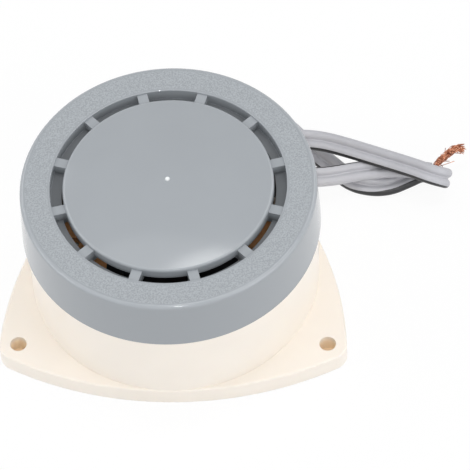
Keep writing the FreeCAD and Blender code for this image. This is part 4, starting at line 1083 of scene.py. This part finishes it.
def make_screws(name, node, radius, head_radius, head, pitch, drive, tip, angles, count, flip):
    head *= MM
    head_radius *= MM
    shank = tall(node) - head
    template = screw(radius * MM, shank, head_radius, head, pitch * MM, drive, tip * MM)
    places = round_places(node, head_radius, angles) if angles else corner_places(node, head_radius)
    copies(name, node, template, places[:count], shank + head if flip else 0.0)


def make_rivets(name, node, radius, head_radius, head, foot, count):
    head *= MM
    head_radius *= MM
    template = rivet(radius * MM, tall(node) - head, head_radius, head, foot * MM)
    copies(name, node, template, corner_places(node, head_radius)[:count])


def make_core_rivets():
    """Two rivets that lie along Y, with a dome at each end."""
    low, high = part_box("core_rivets")
    head = CORE_RIVET_HEAD_HEIGHT
    long = high.y - low.y
    dome = head_profile(CORE_RIVET_HEAD, head, RIVET_SIDE, RIVET_BULGE)
    rows = [(reach, head - level) for reach, level in reversed(dome)]
    rows += [(CORE_RIVET_SHANK, head), (CORE_RIVET_SHANK, long - head)]
    rows += [(reach, long - head + level) for reach, level in dome]
    points, faces = turned(rows)
    lying = [Vector((point.x, low.y + point.z, -point.y)) for point in points]
    middle = (low.z + high.z) / 2
    places = [Vector((side, 0, middle)) for side in (low.x + CORE_RIVET_HEAD, high.x - CORE_RIVET_HEAD)]
    copies("core_rivet_pair", "core_rivets", (lying, faces), places)


def make_lock_nut():
    """A hexagon nut whose corners are turned off at both faces."""
    low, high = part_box("lock_nut")
    flat = (high.y - low.y) / 2
    middle = (low + high) / 2
    axis = Vector((middle.x, middle.y, low.z))
    thick = high.z - low.z
    turns = round_angles(NUT_AROUND)
    bore = [(NUT_BORE, NUT_CHAMFER), (NUT_BORE + NUT_CHAMFER, 0.0)]
    points = [axis + on_circle(radius, angle, height) for radius, height in bore for angle in turns]
    levels = [level * MM for level in NUT_LEVELS]
    for height in levels + [thick - level for level in reversed(levels)]:
        cone = flat * NUT_FACE + min(height, thick - height) * NUT_SLOPE
        for angle in turns:
            hexagon = flat / math.cos(angle % (math.pi / 3) - math.pi / 6)
            points.append(axis + on_circle(min(hexagon, cone), angle, height))
    for radius, height in reversed(bore):
        points += [axis + on_circle(radius, angle, thick - height) for angle in turns]
    faces = tube_faces(len(points) // NUT_AROUND, NUT_AROUND, looped=True)
    new_piece("hexagon_nut", points, faces, "lock_nut")


# Coil, wires, grommet and solder inside the case
def rounded_ring(half_x, half_y, corner):
    """Outline of a rectangle with rounded corners."""
    outline = []
    for number, (x, y) in enumerate(((1, 1), (-1, 1), (-1, -1), (1, -1))):
        for step in range(CORNER_STEPS + 1):
            angle = math.pi / 2 * (number + step / CORNER_STEPS)
            along = x * (half_x - corner) + corner * math.cos(angle)
            outline.append((along, y * (half_y - corner) + corner * math.sin(angle)))
    return outline


def wound(name, node, inner, corner, turns=0, depth=0.0, lap=0.0):
    """A rounded rectangular ring whose outer skin shows its turns, or the lap of a tape."""
    low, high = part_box(node)
    steps = turns * STEPS_PER_TURN if turns else STEPS_PER_TURN
    thick = high.z - low.z
    rings = [(inner, 0.0, 0.0)]
    for step in range(steps + 1):
        pull = depth * (1 - abs(math.sin(math.pi * step * turns / steps))) if turns else 0.0
        rings.append((pull, thick * step / steps, lap))
    rings.append((inner, thick, 0.0))
    points = []
    for pull, height, lapped in rings:
        outline = rounded_ring(high.x - pull, high.y - pull, max(corner - pull, TIGHTEST_CORNER))
        for step, (x, y) in enumerate(outline):
            under = lapped * max(0.0, 1 - step / (len(outline) * LAP_SHARE))
            points.append(Vector((x * (1 - under / high.x), y * (1 - under / high.y), low.z + height)))
    new_piece(name, points, tube_faces(len(rings), len(outline), looped=True), node)


def wire(path, radius):
    """A round wire along the spline of these points in millimetres."""
    points = spline_points([Vector(place) * MM for place in path], SPLINE_STEPS)
    rows = []
    side = UP.cross(points[1] - points[0])
    if side.length < SAME_PLACE:
        side = Vector((1, 0, 0))
    for point, tangent in zip(points, directions(points)):
        side = (side - tangent * side.dot(tangent)).normalized()
        up = tangent.cross(side)
        for angle in round_angles(WIRE_AROUND):
            rows.append(point + (side * math.cos(angle) + up * math.sin(angle)) * radius)
    return rows, tube_faces(len(points), WIRE_AROUND)


def make_wires():
    """The flex's cores and the coil's leads, up to the tags."""
    cores = []
    for sign, path in ((1, LEFT_CORE), (-1, RIGHT_CORE)):
        start = OUTWARD * FLEX_END + UP * MOUTH.z + LOBE_SIDE * sign
        cores.append(wire([start, start - OUTWARD * CORE_LEAD, *path], CORE_RADIUS))
    new_piece("sheathed_cores", *merged(cores), "supply_cores")
    leads = [wire([(side * x, y, z) for x, y, z in COIL_LEAD], LEAD_RADIUS) for side in (-1, 1)]
    new_piece("sleeved_leads", *merged(leads), "coil_leads")


def on_flex_line(reach):
    """A point of the line out through the mouth, by its reach from the axis in millimetres."""
    return OUTWARD * reach * MM + Vector((0, 0, MOUTH.z * MM))


def make_inner_flex():
    """The flex between the grommet and the place where its cores part."""
    outline = flex_profile()
    across = LOBE_SIDE.normalized()
    rows = []
    for reach in (FLEX_END, (FLEX_END + MOUTH_REACH) / 2, MOUTH_REACH):
        rows += [on_flex_line(reach) + across * -width + UP * thick for width, thick, angle in outline]
    new_piece("inner_twin_flex", rows, tube_faces(3, len(outline)), "flex_inner")


def bore_reach(angle):
    """Distance from the middle of the grommet's oblong bore to its wall."""
    straight = GROMMET_BORE_HALF_LENGTH - GROMMET_BORE_HALF_WIDTH
    across = abs(math.cos(angle))
    up = abs(math.sin(angle))
    flat = GROMMET_BORE_HALF_WIDTH / up if up > NEARLY_FLAT else GROMMET_BORE_HALF_LENGTH * 2
    if flat * across > straight:
        rounded = GROMMET_BORE_HALF_WIDTH ** 2 - (straight * up) ** 2
        flat = straight * across + math.sqrt(max(rounded, 0.0))
    return flat


def make_grommet():
    """A rubber bush with rolled edges and an oblong bore."""
    levels = [(*GROMMET_INNER_LIP, True)]
    levels += [(reach, radius, False) for reach, radius in GROMMET_OUTSIDE]
    levels += [(reach, radius, True) for reach, radius in GROMMET_BORE]
    points = []
    for reach, radius, bore in levels:
        for angle in round_angles(GROMMET_AROUND):
            size = radius * MM + (bore_reach(angle) if bore else 0.0)
            side = LOBE_SIDE.normalized() * math.cos(angle) + UP * math.sin(angle)
            points.append(on_flex_line(reach) + side * size)
    new_piece(
        "rolled_grommet", points, tube_faces(len(levels), GROMMET_AROUND, looped=True), "cord_grommet")


def make_solder():
    """Blobs where the cores and the leads lie on the tags."""
    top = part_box("solder_tags")[1].z
    blobs = []
    for number, (x, y, wide) in enumerate(SOLDER_PLACES):
        sag = random.Random(SOLDER_SEED + number)
        shape = [(wide * reach * MM, level * MM) for reach, level in SOLDER_SHAPE]
        points, faces = turned(shape, SOLDER_AROUND)
        lean = Vector((sag.uniform(*SOLDER_LEAN), sag.uniform(*SOLDER_LEAN), 0))
        middle = Vector((x * MM, y * MM, top))
        blobs.append(([middle + point + lean * point.z for point in points], faces))
    piece = placed("solder_joints", smooth_mesh("solder_joints", *merged(blobs), MATERIALS["solder"]))
    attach(piece, BODY_OF["solder_tags"])


make_camera()
make_studio()
dress_nodes()
make_cord()
for screws in SCREW_SETS:
    make_screws(*screws)
for rivets in RIVET_SETS:
    make_rivets(*rivets)
make_core_rivets()
make_lock_nut()
wound("wire_turns", "coil_winding", inner=2.8 * MM, corner=1.5 * MM, turns=33, depth=0.10 * MM)
wound("tape_wrap", "coil_tape", inner=0.3 * MM, corner=1.8 * MM, lap=0.10 * MM)
make_wires()
make_inner_flex()
make_grommet()
make_solder()
